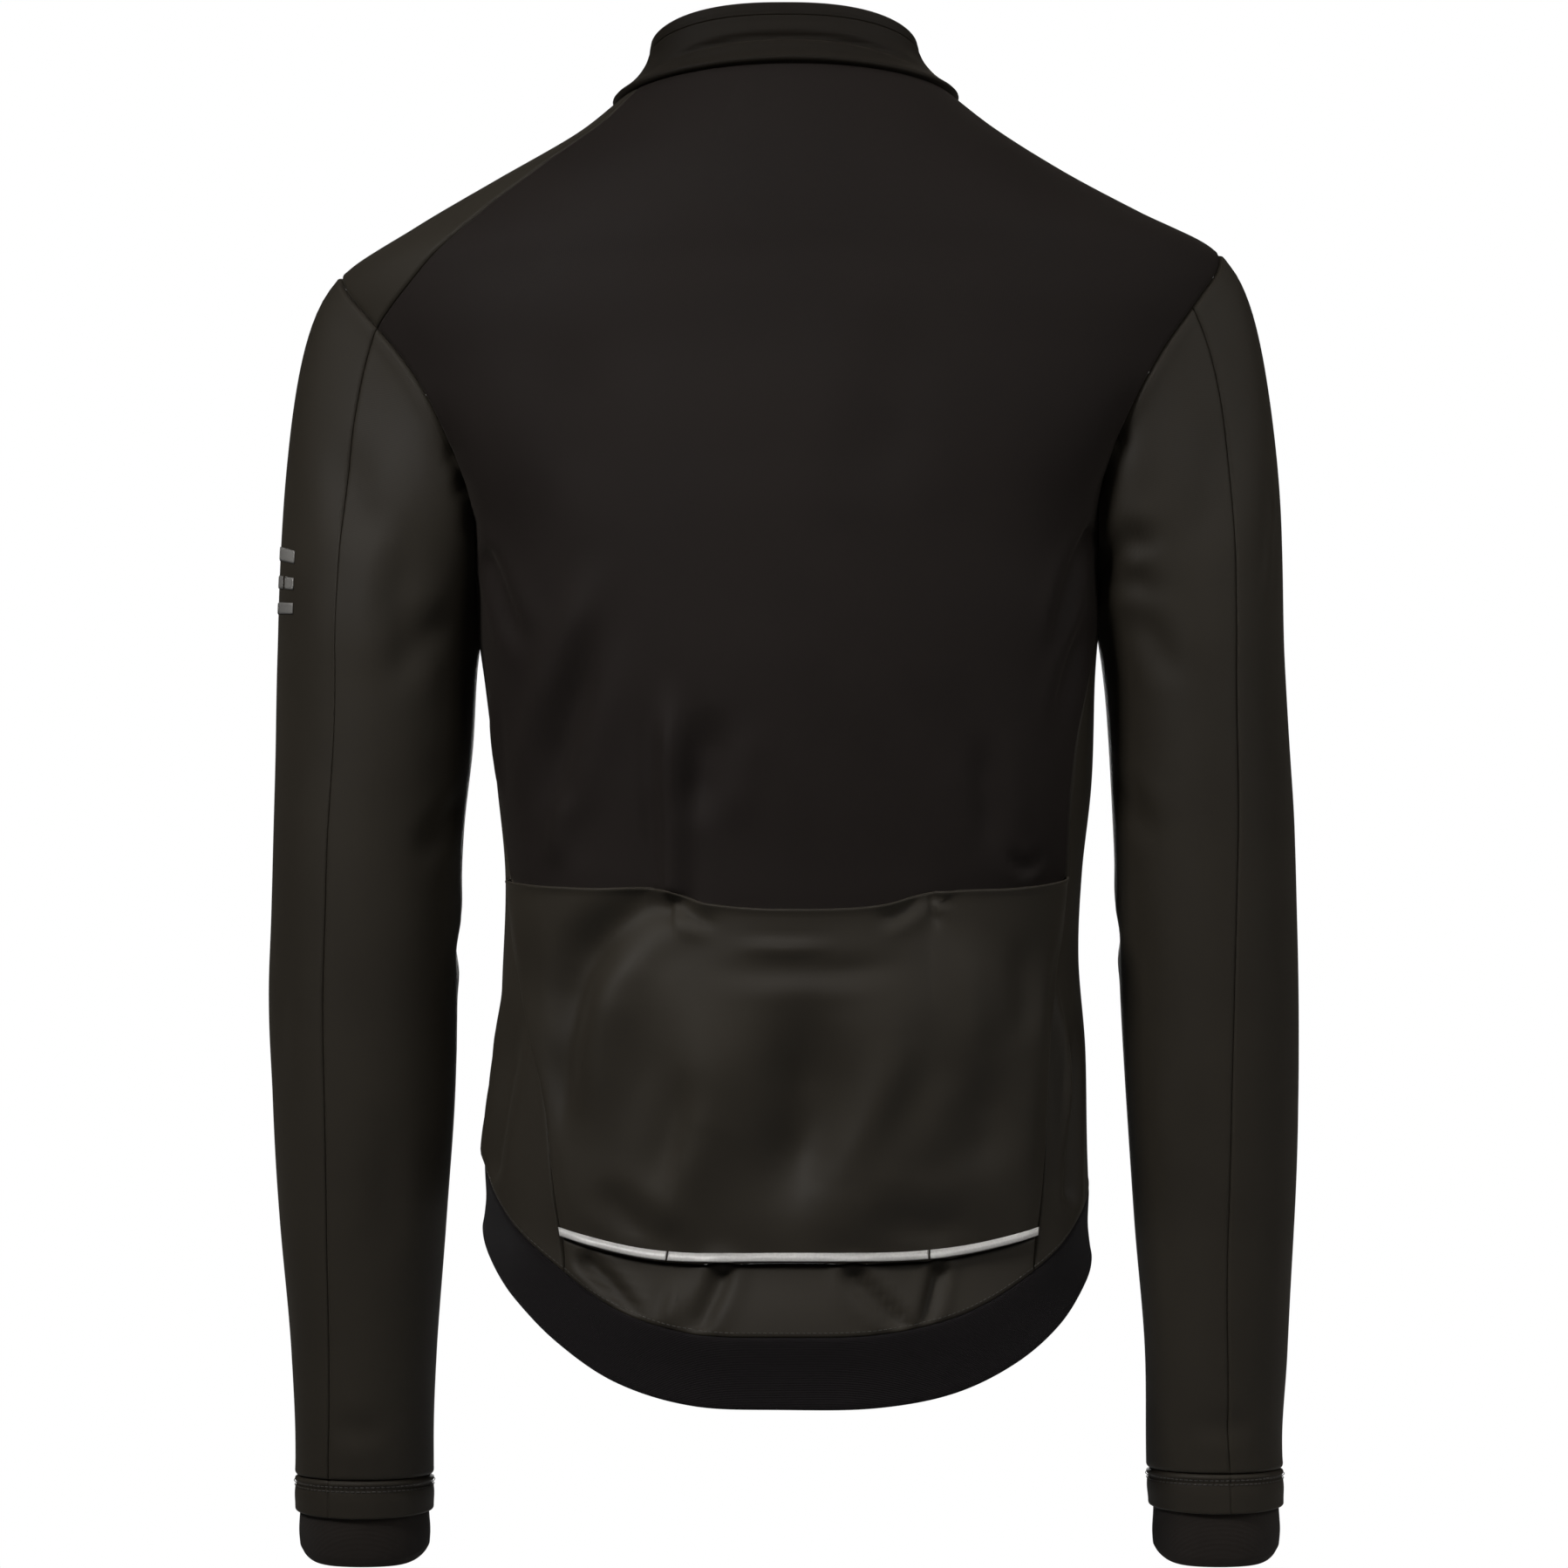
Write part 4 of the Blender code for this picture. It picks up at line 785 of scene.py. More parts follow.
def weave_map(points):
    """Cloth coordinates of a grid in centimetres: the mean running length across and down."""
    across = np.linalg.norm(np.diff(points, axis=1), axis=-1).mean(0)
    down = np.linalg.norm(np.diff(points, axis=0), axis=-1).mean(1)
    u = np.concatenate([[0.0], np.cumsum(across)]) / 10
    v = np.concatenate([[0.0], np.cumsum(down)]) / 10
    return np.stack(np.meshgrid(u, v), -1)


def mesh_object(name, verts, faces, uv, finish):
    """One mesh in metres, smooth shaded, with its cloth coordinates as a UV map."""
    mesh = bpy.data.meshes.new(name)
    mesh.from_pydata((verts * MM).tolist(), [], faces.tolist() if hasattr(faces, "tolist") else faces)
    if uv is not None:
        layer = mesh.uv_layers.new(name="weave")
        corners = np.empty(len(mesh.loops), np.int32)
        mesh.loops.foreach_get("vertex_index", corners)
        layer.data.foreach_set("uv", uv[corners].astype(np.float32).ravel())
    mesh.shade_smooth()
    mesh.materials.append(finish)
    made = bpy.data.objects.new(name, mesh)
    bpy.context.collection.objects.link(made)
    return made


def quads_of(rows, columns, first=0):
    """The four corners of every cell of a grid whose points are numbered row by row."""
    index = np.arange(rows * columns).reshape(rows, columns) + first
    return np.stack([index[:-1, :-1], index[:-1, 1:], index[1:, 1:], index[1:, :-1]], -1).reshape(-1, 4)


def cloth(name, grids, thickness, finish, free=(), valley=1.0, spread_mm=1.0):
    """One closed cloth piece from grids that may share edges.

    The outer skin is the grids' own points and the inner one lies a thickness below along the normals. Within
    half a thickness of an edge both bend in a quarter circle to meet halfway, so each edge is round and closed.
    Beside a seam the whole wall also sinks by a bell, valley deep (a number, or a function of the points) and
    spread_mm wide each way, as sewn cloth does; the edges named in free belong to no seam and don't sink.
    """
    points, normals, uv, quads, count = [], [], [], [], 0
    loose = []
    for grid, normal in grids:
        rows, columns = grid.shape[:2]
        quad = quads_of(rows, columns, count)
        turn = np.cross(grid[1, 1] - grid[0, 0], grid[1, 0] - grid[0, 1])
        points.append(grid.reshape(-1, 3))
        normals.append(normal.reshape(-1, 3))
        uv.append(weave_map(grid).reshape(-1, 2))
        quads.append(quad if np.dot(turn, normal[0, 0]) > 0 else quad[:, ::-1])
        index = np.arange(rows * columns).reshape(rows, columns) + count
        sides = {"top": index[0], "bottom": index[-1], "left": index[:, 0], "right": index[:, -1]}
        loose.extend(sides[edge] for edge in free)
        count += rows * columns
    points, normals, uv, quads = (np.concatenate(part) for part in (points, normals, uv, quads))
    _, first, same = np.unique(np.round(points, 3), axis=0, return_index=True, return_inverse=True)
    same = same.reshape(-1)
    points, normals, uv, quads = points[first], normals[first], uv[first], same[quads]
    is_loose = np.zeros(len(points), bool)
    if loose:
        is_loose[same[np.concatenate(loose)]] = True
    sides = np.concatenate([quads[:, [i, (i + 1) % 4]] for i in range(4)])
    key = np.sort(sides, 1) @ np.array([len(points), 1])
    _, place, times = np.unique(key, return_inverse=True, return_counts=True)
    border = sides[times[place.reshape(-1)] == 1]
    near = np.zeros(len(points), bool)
    near[border] = True
    on_border = near.copy()
    for _ in range(8):
        touched = near[quads].any(1)
        near[quads[touched]] = True
    starts, steps = points[border[:, 0]], points[border[:, 1]] - points[border[:, 0]]
    apart = np.full(len(points), 99.0)
    apart[near] = nearest(points[near], starts, steps)[0]
    apart[on_border] = 0
    sewn = ~(is_loose[border].all(1))
    sink = np.zeros(len(points))
    if sewn.any() and valley:
        seam_apart = nearest(points[near], starts[sewn], steps[sewn])[0]
        depth = valley(points[near]) if callable(valley) else valley
        sink[near] = depth * (np.exp(-((seam_apart / spread_mm) ** 2))
                               - 0.15 * np.exp(-(((seam_apart - 2.3 * spread_mm) / spread_mm) ** 2)))
    half = thickness / 2
    drop = half * (1 - np.sqrt(1 - (1 - np.clip(apart / half, 0, 1)) ** 2))
    outer = points - normals * (drop + sink)[:, None]
    inner = points - normals * (thickness - drop + sink)[:, None]
    inside = np.where(on_border, np.arange(len(points)), np.cumsum(~on_border) - 1 + len(points))
    verts = np.concatenate([outer, inner[~on_border]])
    faces = np.concatenate([quads, inside[quads][:, ::-1]])
    whole_uv = np.concatenate([uv, uv[~on_border]])
    made = mesh_object(name, verts, faces, whole_uv, finish)
    corners = points[quads]
    area = np.linalg.norm(np.cross(corners[:, 2] - corners[:, 0], corners[:, 3] - corners[:, 1]), axis=-1).sum() / 2
    return made, area * MM * MM


# How each piece joins the frame

def attach(made, slot, *nodes):
    """Put a piece on the jacket, in place of the solids that it stands for. The slot it is given is not used."""
    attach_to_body(made, "jacket")
    if nodes:
        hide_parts(*nodes)
    return made


def cloth_piece(node, grids, thickness, finish, slot, held="draped", stacked=True, **how):
    """One cut piece: its mesh, put on the jacket in place of the solid it stands for. held and stacked are not used."""
    made, area = cloth(node + "_cloth", grids, thickness, finish, **how)
    attach(made, slot, node)
    return made


# Body panels

def split_seam(side):
    """The back's side seam in three lengths: to the pocket mouth, to the pocket foot, and to the hem."""
    return (back_seam(side, None, pocket_top), back_seam(side, pocket_top, pocket_foot),
            back_seam(side, pocket_foot, hem_level))


def line_between(first, last, line):
    """A run along a line round the body between the ends of two seams."""
    run = level_edge(spread(first[0], last[0]), line)
    run[0], run[-1] = first, last
    return run


def pocket_runs():
    """Mouth and foot of the pocket cloth, each in three lengths between the dividers."""
    left, right = split_seam(1)[1], split_seam(-1)[1]
    edges = []
    for row, line in ((0, pocket_top), (-1, pocket_foot)):
        stops = [left[row]] + [np.array([turn, float(line(turn))]) for turn in DIVIDER_TURNS] + [right[row]]
        edges.append([line_between(a, b, line) for a, b in zip(stops[:-1], stops[1:])])
    return edges[0], edges[1], left, right


def pouch_height(place, depth):
    """How far the pocket cloth stands off the back, before its folds.

    At the mouth it is three half waves between the dividers and the side seams, and the middle one hangs
    fullest; further down they run together into one broad half wave, lower and lower to the foot, with a belly
    where the load hangs.
    """
    left, right = split_seam(1)[1][0, 0], split_seam(-1)[1][0, 0]
    edges = np.array([left, *DIVIDER_TURNS, right])
    turns = place[..., 0]
    which = np.clip(np.searchsorted(-edges, -turns, side="right") - 1, 0, 2)
    share = (turns - edges[which]) / (edges[which + 1] - edges[which])
    lobes = np.sin(np.pi * np.clip(share, 0, 1)) ** 0.7
    broad = np.sin(np.pi * np.clip((left - turns) / (left - right), 0, 1)) ** 0.7
    mix = ease(depth / 0.34)
    belly = 7.5 * np.exp(-(((depth - 0.34) / 0.24) ** 2)) * broad
    return POUCH * (lobes * (1 - mix) + broad * mix) * (1 - 0.8 * depth**0.8) + belly


def from_side_seams(points):
    """Distance from the pocket's two side seams."""
    apart = np.full(points.shape[:-1], 99.0)
    for side in (1, -1):
        path = body_point(split_seam(side)[1][::10])
        near = np.abs(points[..., 0] - path[:, 0].mean()) < 60
        apart[near] = np.minimum(apart[near], nearest(points[near], path[:-1], np.diff(path, axis=0))[0])
    return apart


def side_dip(points):
    """The pocket cloth sinks to its neighbours' level at the side seams: a bell 2.1 mm deep and 8 mm wide."""
    return 2.1 * np.exp(-((from_side_seams(points) / 8.0) ** 2))


def body_valley(points):
    """Depth of the groove at the body's seams: deepest at the pocket's side seams, where most layers meet."""
    return 1.0 + 1.8 * np.exp(-((from_side_seams(points) / 6.0) ** 2))


def pocket_swell(place):
    """Height of the pocket cloth over the back, and the form's points there.

    Above 0 the cloth stands off; below 0 a fold presses the back inwards with it, never at the open mouth. The
    folds stop at the sewn edges.
    """
    top, foot = place[:1, :, 1], place[-1:, :, 1]
    depth = (place[..., 1] - top) / (foot - top)
    points = body_point(place)
    held = ease(from_side_seams(points) / 13) * ease((foot - place[..., 1] - 4) / 10)
    height = pouch_height(place, depth) + fold_height(points, body_point, POCKET_FOLDS, POCKET_FOLDING) * held
    under = ease((place[..., 1] - top) / 22)
    return np.where(height < 0, height * under, height), points


def build_back(finish):
    """The back panel: neck to pocket mouth, and the stretch that the pocket cloth covers."""
    sides = {}
    for side in (1, -1):
        hole = armhole(side, spread(YOKE_ENDS[side], 180 - SIDE_PANEL_HALF))
        sides[side] = [yoke_run(side), hole, split_seam(side)[0]]
    mouth, foot, left, right = pocket_runs()
    neck = line_between(sides[1][0][0], sides[-1][0][0], neck_edge)
    long = np.cumsum([lengths(body_point(run))[-1] for run in mouth])
    cuts = np.concatenate([[0], long]) / long[-1]
    neck_runs = [at_shares(body_point, neck, spread(a, b)) for a, b in zip(cuts[:-1], cuts[1:])]
    (neck, mouth, foot), p = rails(body_point, (neck_runs, mouth, foot), crisp=True)
    (upper_left, upper_right), q = rails(body_point, (sides[1], sides[-1]), close=(True, False))
    (left, right), q_low = rails(body_point, ([left], [right]), close=(False, True))
    upper = patch(neck, mouth, upper_left, upper_right, p, q)
    covered = patch(mouth, foot, left, right, p, q_low)
    swell, points = pocket_swell(covered)
    pressed = np.minimum(swell, 0) - side_dip(points)
    pressed[0] = 0
    grids = [body_surface(upper), body_surface(covered, pressed)]
    grids[1][0][0], grids[1][1][0] = grids[0][0][-1], grids[0][1][-1]
    cloth_piece("back_panel", grids, CLOTH, finish, "black_cloth", free=("top",), valley=body_valley)


def build_pocket(finish, film):
    """The pocket cloth with its rolled mouth, and the reflective tape along its foot."""
    mouth, foot, left, right = pocket_runs()
    place = fill(body_point, mouth, foot, [left], [right], crisp=True)
    swell, points = pocket_swell(place)
    down = np.linalg.norm(np.diff(points, axis=0), axis=-1)
    below = np.concatenate([np.zeros((1, points.shape[1])), np.cumsum(down, 0)])
    roll = 0.8 * np.exp(-(((below - 1.3) / 1.1) ** 2)) - 0.35 * np.exp(-(((below - 3.6) / 0.8) ** 2))
    lift = REST_GAP + CLOTH + swell - side_dip(points) + roll
    surface, normals = body_surface(place, lift)
    cloth_piece("pocket_panel", [(surface, normals)], CLOTH, finish, "olive_cloth", free=("top",),
                valley=body_valley, spread_mm=0.8)
    to_foot = below[-1] - below
    rows = slice(*np.searchsorted(-to_foot[:, 0], [-(POCKET_TAPE_WIDTH + 1.2), -0.8]))
    stops = [0] + [int(np.argmin(np.abs(place[-1, :, 0] - turn))) for turn in DIVIDER_TURNS] + [place.shape[1] - 1]
    for name, first, last in zip(("left", "middle", "right"), stops[:-1], stops[1:]):
        columns = slice(first + 2, last - 1)
        grid = surface[rows, columns] + normals[rows, columns] * (FILM + 0.2)
        node = "reflective_tape_" + name
        tape, _ = cloth(node + "_film", [(grid, normals[rows, columns])], FILM, film, valley=0)
        attach(tape, "reflective_film", node)


def build_lower_back(finish):
    """The strip between the pockets and the hem band."""
    left, right = split_seam(1)[2], split_seam(-1)[2]
    _, foot, _, _ = pocket_runs()
    hem = line_between(left[-1], right[-1], hem_level)
    place = fill(body_point, [join(*foot)], [hem], [left], [right])
    cloth_piece("lower_back_panel", [body_surface(place)], CLOTH, finish, "olive_cloth")


def build_side_panel(side, finish):
    """The panel under the arm, between the two side seams."""
    left, right = join(*split_seam(side)), front_seam(side)
    top = armhole(side, spread(180 - SIDE_PANEL_HALF, 180 + SIDE_PANEL_HALF))
    place = fill(body_point, [top], [line_between(left[-1], right[-1], hem_level)], [left], [right])
    cloth_piece("side_panel_" + side_name(side), [body_surface(place)], CLOTH, finish, "olive_cloth",
                valley=body_valley, spread_mm=0.8)


def centre_edge(side, levels):
    """The front's edge beside the zip."""
    return np.stack([side * front_turn(FRONT_EDGE, levels), levels], -1)


def build_front(side, finish):
    """A front and the wedge over the shoulder that is cut in one with it."""
    levels = spread(-NECK_UPSTAND, ARMHOLE_TOP)
    shoulder = np.stack([np.full_like(levels, side * 90.0), levels], -1)
    yoke = yoke_run(side)
    hole = armhole(side, -spread(0, 180 - SIDE_PANEL_HALF))
    outer = [shoulder, hole, front_seam(side)]
    long = np.cumsum([lengths(body_point(run))[-1] for run in outer])
    stops = np.concatenate([[0], long]) / long[-1] * hem_level(CENTRE_FRONT)
    stops[:2] = -NECK_UPSTAND, stops[1] * 0.7
    inner = [centre_edge(side, spread(a, b)) for a, b in zip(stops[:-1], stops[1:])]
    (shoulder_cut, yoke_cut), q_wedge = rails(body_point, ([shoulder], [yoke]))
    wedge_top = line_between(yoke[0], shoulder[0], neck_edge)
    wedge_foot = armhole(side, spread(YOKE_ENDS[side], 0))
    (top, foot), p = rails(body_point, ([wedge_top], [wedge_foot]), close=(True, False))
    wedge = patch(top, foot, yoke_cut, shoulder_cut, p, q_wedge)
    (outer_low, inner_low), q_low = rails(body_point, (outer[1:], inner[1:]), close=(False, True))
    outer_cut = join(shoulder_cut, outer_low)
    inner_cut = join(at_shares(body_point, inner[0], q_wedge), inner_low)
    upper_share = long[0] / long[-1]
    q = join(q_wedge * upper_share, upper_share + q_low * (1 - upper_share))
    neck = line_between(outer_cut[0], inner_cut[0], neck_edge)
    hem = line_between(outer_cut[-1], inner_cut[-1], hem_level)
    (neck, hem), p = rails(body_point, ([neck], [hem]), close=(False, True))
    front = patch(neck, hem, outer_cut, inner_cut, p, q)
    grids = [body_surface(wedge), body_surface(front)]
    for part in (0, 1):
        grids[1][part][:len(shoulder_cut), 0] = grids[0][part][:, -1]
    cloth_piece("front_panel_" + side_name(side), grids, CLOTH, finish, "olive_cloth", stacked=False,
                free=("top", "right"))


def neck_turns():
    """Turns of the collar's points, from centre front left round the back."""
    end = front_turn(FRONT_EDGE, 0.0)
    close = np.array([0, 0.2, 0.5, 1.0, 1.8])
    return np.concatenate([end - close, np.linspace(end - 4, 4 - end, 170), close[::-1] - end])


def collar_surface(rises, lift=0.0):
    """A grid on the collar, with straight ends at the zip: each row is drawn out or in over its last 30 degrees."""
    turns = neck_turns()
    place = np.stack(np.broadcast_arrays(turns[None, :], rises[:, None]), -1).copy()
    shift = (collar_front_turn(FRONT_EDGE, rises) - turns[0])[:, None]
    place[..., 0] += shift * np.clip((np.abs(turns) - 150) / (turns[0] - 150), 0, 1) * np.sign(turns)
    points, normals = collar_point(place), facing(collar_point, place, body_axis)
    return place, points + normals * np.broadcast_to(lift, place.shape[:-1])[..., None], normals


def build_collar(finish):
    """Stand and binding.

    The stand's foot is rolled: it stands proud of the panels, hangs over their seam and turns in under itself to
    meet it. Two soft bells across the stand, a trough under the middle and a low bank above it, make its resting
    crease, which fades round to the sides.
    """
    high = COLLAR_HEIGHT * BINDING_START / 100
    turned_in, hung = np.array([-1.3, 0.4, 2.0]), np.array([1.6, 1.8, 1.5])
    share = np.concatenate([0 * turned_in, shares(high, 2.0)])
    above = share[:, None] * high
    rolled = 1.6 * np.exp(-((above / 5.5) ** 2)) + 2.6 * np.exp(-(((above - 1.4) / 2.3) ** 2))
    rolled[:3, 0] = turned_in
    place, points, normals = collar_surface(share * BINDING_START, rolled)
    around = np.abs(place[..., 0])
    middle = 40 - 0.006 * around**2
    fade = ease((62 - around) / 40)
    crease = 0.5 * np.exp(-(((place[..., 1] - middle - 16) / 9) ** 2))
    crease = (crease - 3.6 * np.exp(-(((place[..., 1] - middle) / 4.6) ** 2))) * fade
    points = points + normals * crease[..., None]
    lowered = 1.1 * np.exp(-((above / 3.0) ** 2))
    lowered[:3, 0] = hung
    points[..., 2] -= lowered
    cloth_piece("collar", [(points, grid_normals(points, normals))], COLLAR_CLOTH, finish, "olive_cloth",
                held="folded", free=("left", "right"), valley=0.2)
    low = BINDING_START - 2
    high = COLLAR_HEIGHT * (100 - low) / 100
    share = shares(high, 1.2)
    groove = 0.35 - 0.3 * np.exp(-(((share[:, None] * high - 1.7) / 0.55) ** 2))
    _, points, normals = collar_surface(low + share * (100 - low), groove)
    cloth_piece("collar_binding", [(points, grid_normals(points, normals))], BINDING_CLOTH, finish,
                "olive_cloth", held="folded", free=("left", "right", "bottom"), valley=0)


def build_hem_band(finish):
    """The elastic band round the hem, from one side of the zip to the other; it draws in a little at mid height."""
    ends = [side * front_turn(FRONT_EDGE, hem_level(CENTRE_FRONT)) for side in (1, -1)]
    top = level_edge(spread(ends[0], ends[1], 720), hem_level)
    bottom = top + np.stack([0 * top[:, 0], through(HEM, "turn", "height", top[:, 0])], -1)
    top[:, 1] -= HEM_LAP
    sides = [np.linspace(top[i], bottom[i], 60) for i in (0, -1)]
    place = fill(body_point, [top], [bottom], [sides[0]], [sides[1]])
    share = (place[..., 1] - place[:1, :, 1]) / (place[-1:, :, 1] - place[:1, :, 1])
    snug = -1.2 * np.sin(np.pi * share) ** 2 + 0.5 * np.exp(-(((share - 0.93) / 0.06) ** 2))
    cloth_piece("hem_band", [body_surface(place, snug)], HEM_CLOTH, finish, "elastic", held="stretched",
                free=("bottom", "left", "right"), valley=0.75)


# Sleeves and cuffs

def sleeve_valley(points):
    """Depth of the groove at the sleeve's seams: they lie flattest over the left upper arm."""
    return 0.65 - 0.95 * np.exp(-(((points[..., 2] + 295) / 75) ** 2)) * (points[..., 0] > 205)


def build_sleeve(side, finish):
    """The sleeve's two pieces: both run from the seam at the back of the arm to the one at its inside."""
    form, name = sleeve_point(side), side_name(side)
    drops = spread(CAP_DROP, SLEEVE_END_DROP[side], 400)
    seam = np.stack([through(SLEEVE_SEAM[side], "drop", "turn", drops), drops], -1)
    for piece, last in (("sleeve_outer_", -180.0), ("sleeve_under_", 180.0)):
        arounds = spread(SLEEVE_SEAM_START, last)
        top = np.stack([arounds, np.full_like(arounds, CAP_DROP)], -1)
        foot = np.stack([spread(seam[-1, 0], last), np.full_like(arounds, SLEEVE_END_DROP[side])], -1)
        inner = np.stack([np.full_like(drops, last), drops], -1)
        place = fill(form, [top], [foot], [seam], [inner])
        cloth_piece(piece + name, [sleeve_surface(side, place)], CLOTH, finish, "olive_cloth",
                    valley=sleeve_valley)


def ring_piece(node, side, drops, lift, thickness, finish, slot, held, free, seam=0.0, scallop=0.0):
    """A closed band round the arm; lift is its profile, row by row.

    Its own seam, in line with the sleeve's, is a groove seam deep. Its lower edge rises by scallop at the
    arm's inner and outer sides.
    """
    form = sleeve_point(side)
    turn = float(through(SLEEVE_SEAM[side], "drop", "turn", SLEEVE_END_DROP[side]))
    beside = np.array([-3.2, -2, -1.2, -0.6, 0, 0.6, 1.2, 2, 3.2])
    arounds = spread(0, 360, 96)
    arounds = np.sort(np.concatenate([arounds[np.abs(arounds - turn) > 4.2], turn + beside]))
    place = np.stack(np.broadcast_arrays(arounds[None, :], drops[:, None]), -1).copy()
    down = ((drops - drops[0]) / (drops[-1] - drops[0]))[:, None]
    place[..., 1] -= scallop * np.abs(np.cos(np.radians(place[..., 0]))) ** 6 * down**3
    normals = facing(form, place, sleeve_axis(side))
    high = lift[:, None] - seam * np.exp(-(((place[..., 0] - turn) / 1.0) ** 2))
    points = form(place) + normals * high[..., None]
    points[:, -1] = points[:, 0]
    normals = grid_normals(points, normals, wrap=True)
    normals[:, -1] = normals[:, 0]
    return cloth_piece(node, [(points, normals)], thickness, finish, slot, held=held, free=free)


def build_cuffs(side, finish, elastic):
    """Band with its double welt, and the narrower elastic that comes out under it."""
    name = side_name(side)
    high = BAND_END_DROP[side] - SLEEVE_END_DROP[side]
    below = shares(high, 0.9) * high
    welt = 0.5 * np.exp(-(((below - 2.1) / 1.2) ** 2)) - 0.8 * np.exp(-(((below - 4.6) / 0.8) ** 2))
    full = 0.5 * np.exp(-(((below - 10) / 5.0) ** 2)) - 0.5
    ring_piece("cuff_band_" + name, side, SLEEVE_END_DROP[side] + below, welt + full, COLLAR_CLOTH, finish,
               "olive_cloth", "folded", ("bottom",), seam=0.7)
    high = ELASTIC_END_DROP - ELASTIC_TOP_DROP
    below = shares(high, 1.3) * high
    inset = 0.7 * np.exp(-(((below - 20) / 9) ** 2)) - 3.2 - 1.4 * ease((below - 29) / 6)
    ring_piece("elastic_cuff_" + name, side, ELASTIC_TOP_DROP + below, inset, CUFF_ELASTIC, elastic, "elastic",
               "stretched", ("top", "bottom"), scallop=5.0)


def build_bars(film):
    """Three level rows of short reflective blocks round the outside of the left upper arm, welded on the cloth.

    The blocks of the middle row stand over the gaps of the other two, as bricks do.
    """
    for number, drop in enumerate(BAR_DROPS, 1):
        shift = BLOCK_PITCH / 2 if number == 2 else BLOCK_PITCH
        gaps = np.arange(BAR_TURNS[0] + shift, BAR_TURNS[1] - BLOCK_GAP, BLOCK_PITCH)
        starts = [BAR_TURNS[0], *(gaps + BLOCK_GAP / 2)]
        ends = [*(gaps - BLOCK_GAP / 2), BAR_TURNS[1]]
        drops = np.linspace(drop, drop + BAR_HEIGHT, 8)
        blocks = []
        for start, end in zip(starts, ends):
            turns = np.linspace(start, end, max(4, round(end - start) + 1))
            place = np.stack(np.broadcast_arrays(turns[None, :], drops[:, None]), -1)
            blocks.append(sleeve_surface(1, place, FILM + 0.1))
        bar, _ = cloth("sleeve_bar_%d_film" % number, blocks, FILM, film, valley=0)
        attach(bar, "reflective_film", "sleeve_bar_%d" % number)


# Zip

def zip_line(half_width):
    """Places down the front at a distance from the middle, and the outward normals in the plane of the zip."""
    rises = np.array([93.0, BINDING_START, 40.0, 15.0])
    foot = hem_level(CENTRE_FRONT) + HEM["height"][0] - ZIP_BOX_HEIGHT - 1
    levels = join(np.linspace(0, 120, 12), np.linspace(120, foot, 24))
    upper = np.stack([collar_front_turn(half_width, rises), rises], -1)[:, None]
    lower = np.stack([front_turn(half_width, levels), levels], -1)[:, None]
    points = np.concatenate([collar_point(upper), body_point(lower)])[:, 0]
    normals = np.concatenate([facing(collar_point, upper, body_axis), facing(body_point, lower, body_axis)])[:, 0]
    normals[1:-1] = normals[:-2] + 2 * normals[1:-1] + normals[2:]
    normals[:, 0] = 0
    return points, unit(normals)


def along(points, normals, at):
    """Points and normals at lengths along a line."""
    run = lengths(points)
    spot = np.stack([np.interp(at, run, points[:, i]) for i in range(3)], -1)
    return spot, unit(np.stack([np.interp(at, run, normals[:, i]) for i in range(3)], -1))


def build_zip_tapes(finish):
    """Woven tapes under the fronts' edges: flat strips down the front between two distances from the middle."""
    for side in (1, -1):
        columns = []
        for half_width in shares(TAPE_OUTER - TAPE_INNER, 2.0) * (TAPE_OUTER - TAPE_INNER) + TAPE_INNER:
            points, normals = zip_line(half_width)
            points[:, 0] = side * half_width
            columns.append((points - normals * TAPE_INSET, normals))
        rows = shares(lengths(columns[0][0])[-1], 3.0)
        columns = [along(points, normals, rows * lengths(points)[-1]) for points, normals in columns]
        grid, normals = (np.stack([column[i] for column in columns], 1) for i in (0, 1))
        cloth_piece("zip_tape_" + side_name(side), [(grid, normals)], TAPE_CLOTH, finish, "zip_tape",
                    held="hung", valley=0)


def repeated(name, shape, faces, spots, rights, outs, finish):
    """One mesh of many copies of a small closed shape, each set at its spot along its own right, down and out."""
    axes = np.stack([rights, np.cross(outs, rights), outs], 1)
    verts = np.einsum("vk,nkj->nvj", shape, axes) + spots[:, None]
    first = (np.arange(len(spots)) * len(shape))[:, None, None]
    index = [row for kind in faces for row in (kind[None] + first).reshape(-1, kind.shape[1]).tolist()]
    return mesh_object(name, verts.reshape(-1, 3), index, None, finish)


def build_teeth(finish):
    """The chain: moulded teeth from both sides in turn, each a block with sloped sides that reaches past the middle."""
    half, tall, deep = TOOTH_HALF_SIZE
    w, h, d = np.array([[-1, 1, 1, -1, -1, 1, 1, -1], [-1, -1, 1, 1, -1, -1, 1, 1], [-1, -1, -1, -1, 1, 1, 1, 1]])
    shape = np.stack([w * half * (1 - 0.12 * d), h * tall * (1 - 0.2 * d) * (1 + 0.15 * w), d * deep], -1)
    faces = np.array([[0, 3, 2, 1], [4, 5, 6, 7], [0, 1, 5, 4], [1, 2, 6, 5], [2, 3, 7, 6], [3, 0, 4, 7]])
    points, normals = zip_line(0.5)
    points[:, 0] = 0
    at = np.arange(1.0, lengths(points)[-1] - 0.6, TOOTH_PITCH)
    spots, outs = along(points, normals, at)
    spots = spots - outs * (CHAIN_INSET + TOOTH_DEPTH)
    turn = np.where(np.arange(len(at)) % 2, 1.0, -1.0)
    spots[:, 0] += TOOTH_SIDESTEP * turn
    rights = np.stack([-turn, 0 * turn, 0 * turn], -1)
    teeth = repeated("zip_chain_teeth", shape, [faces], spots, rights, outs, finish)
    teeth.data.shade_flat()
    attach(teeth, "zip_hard", "zip_chain")


# Stitches

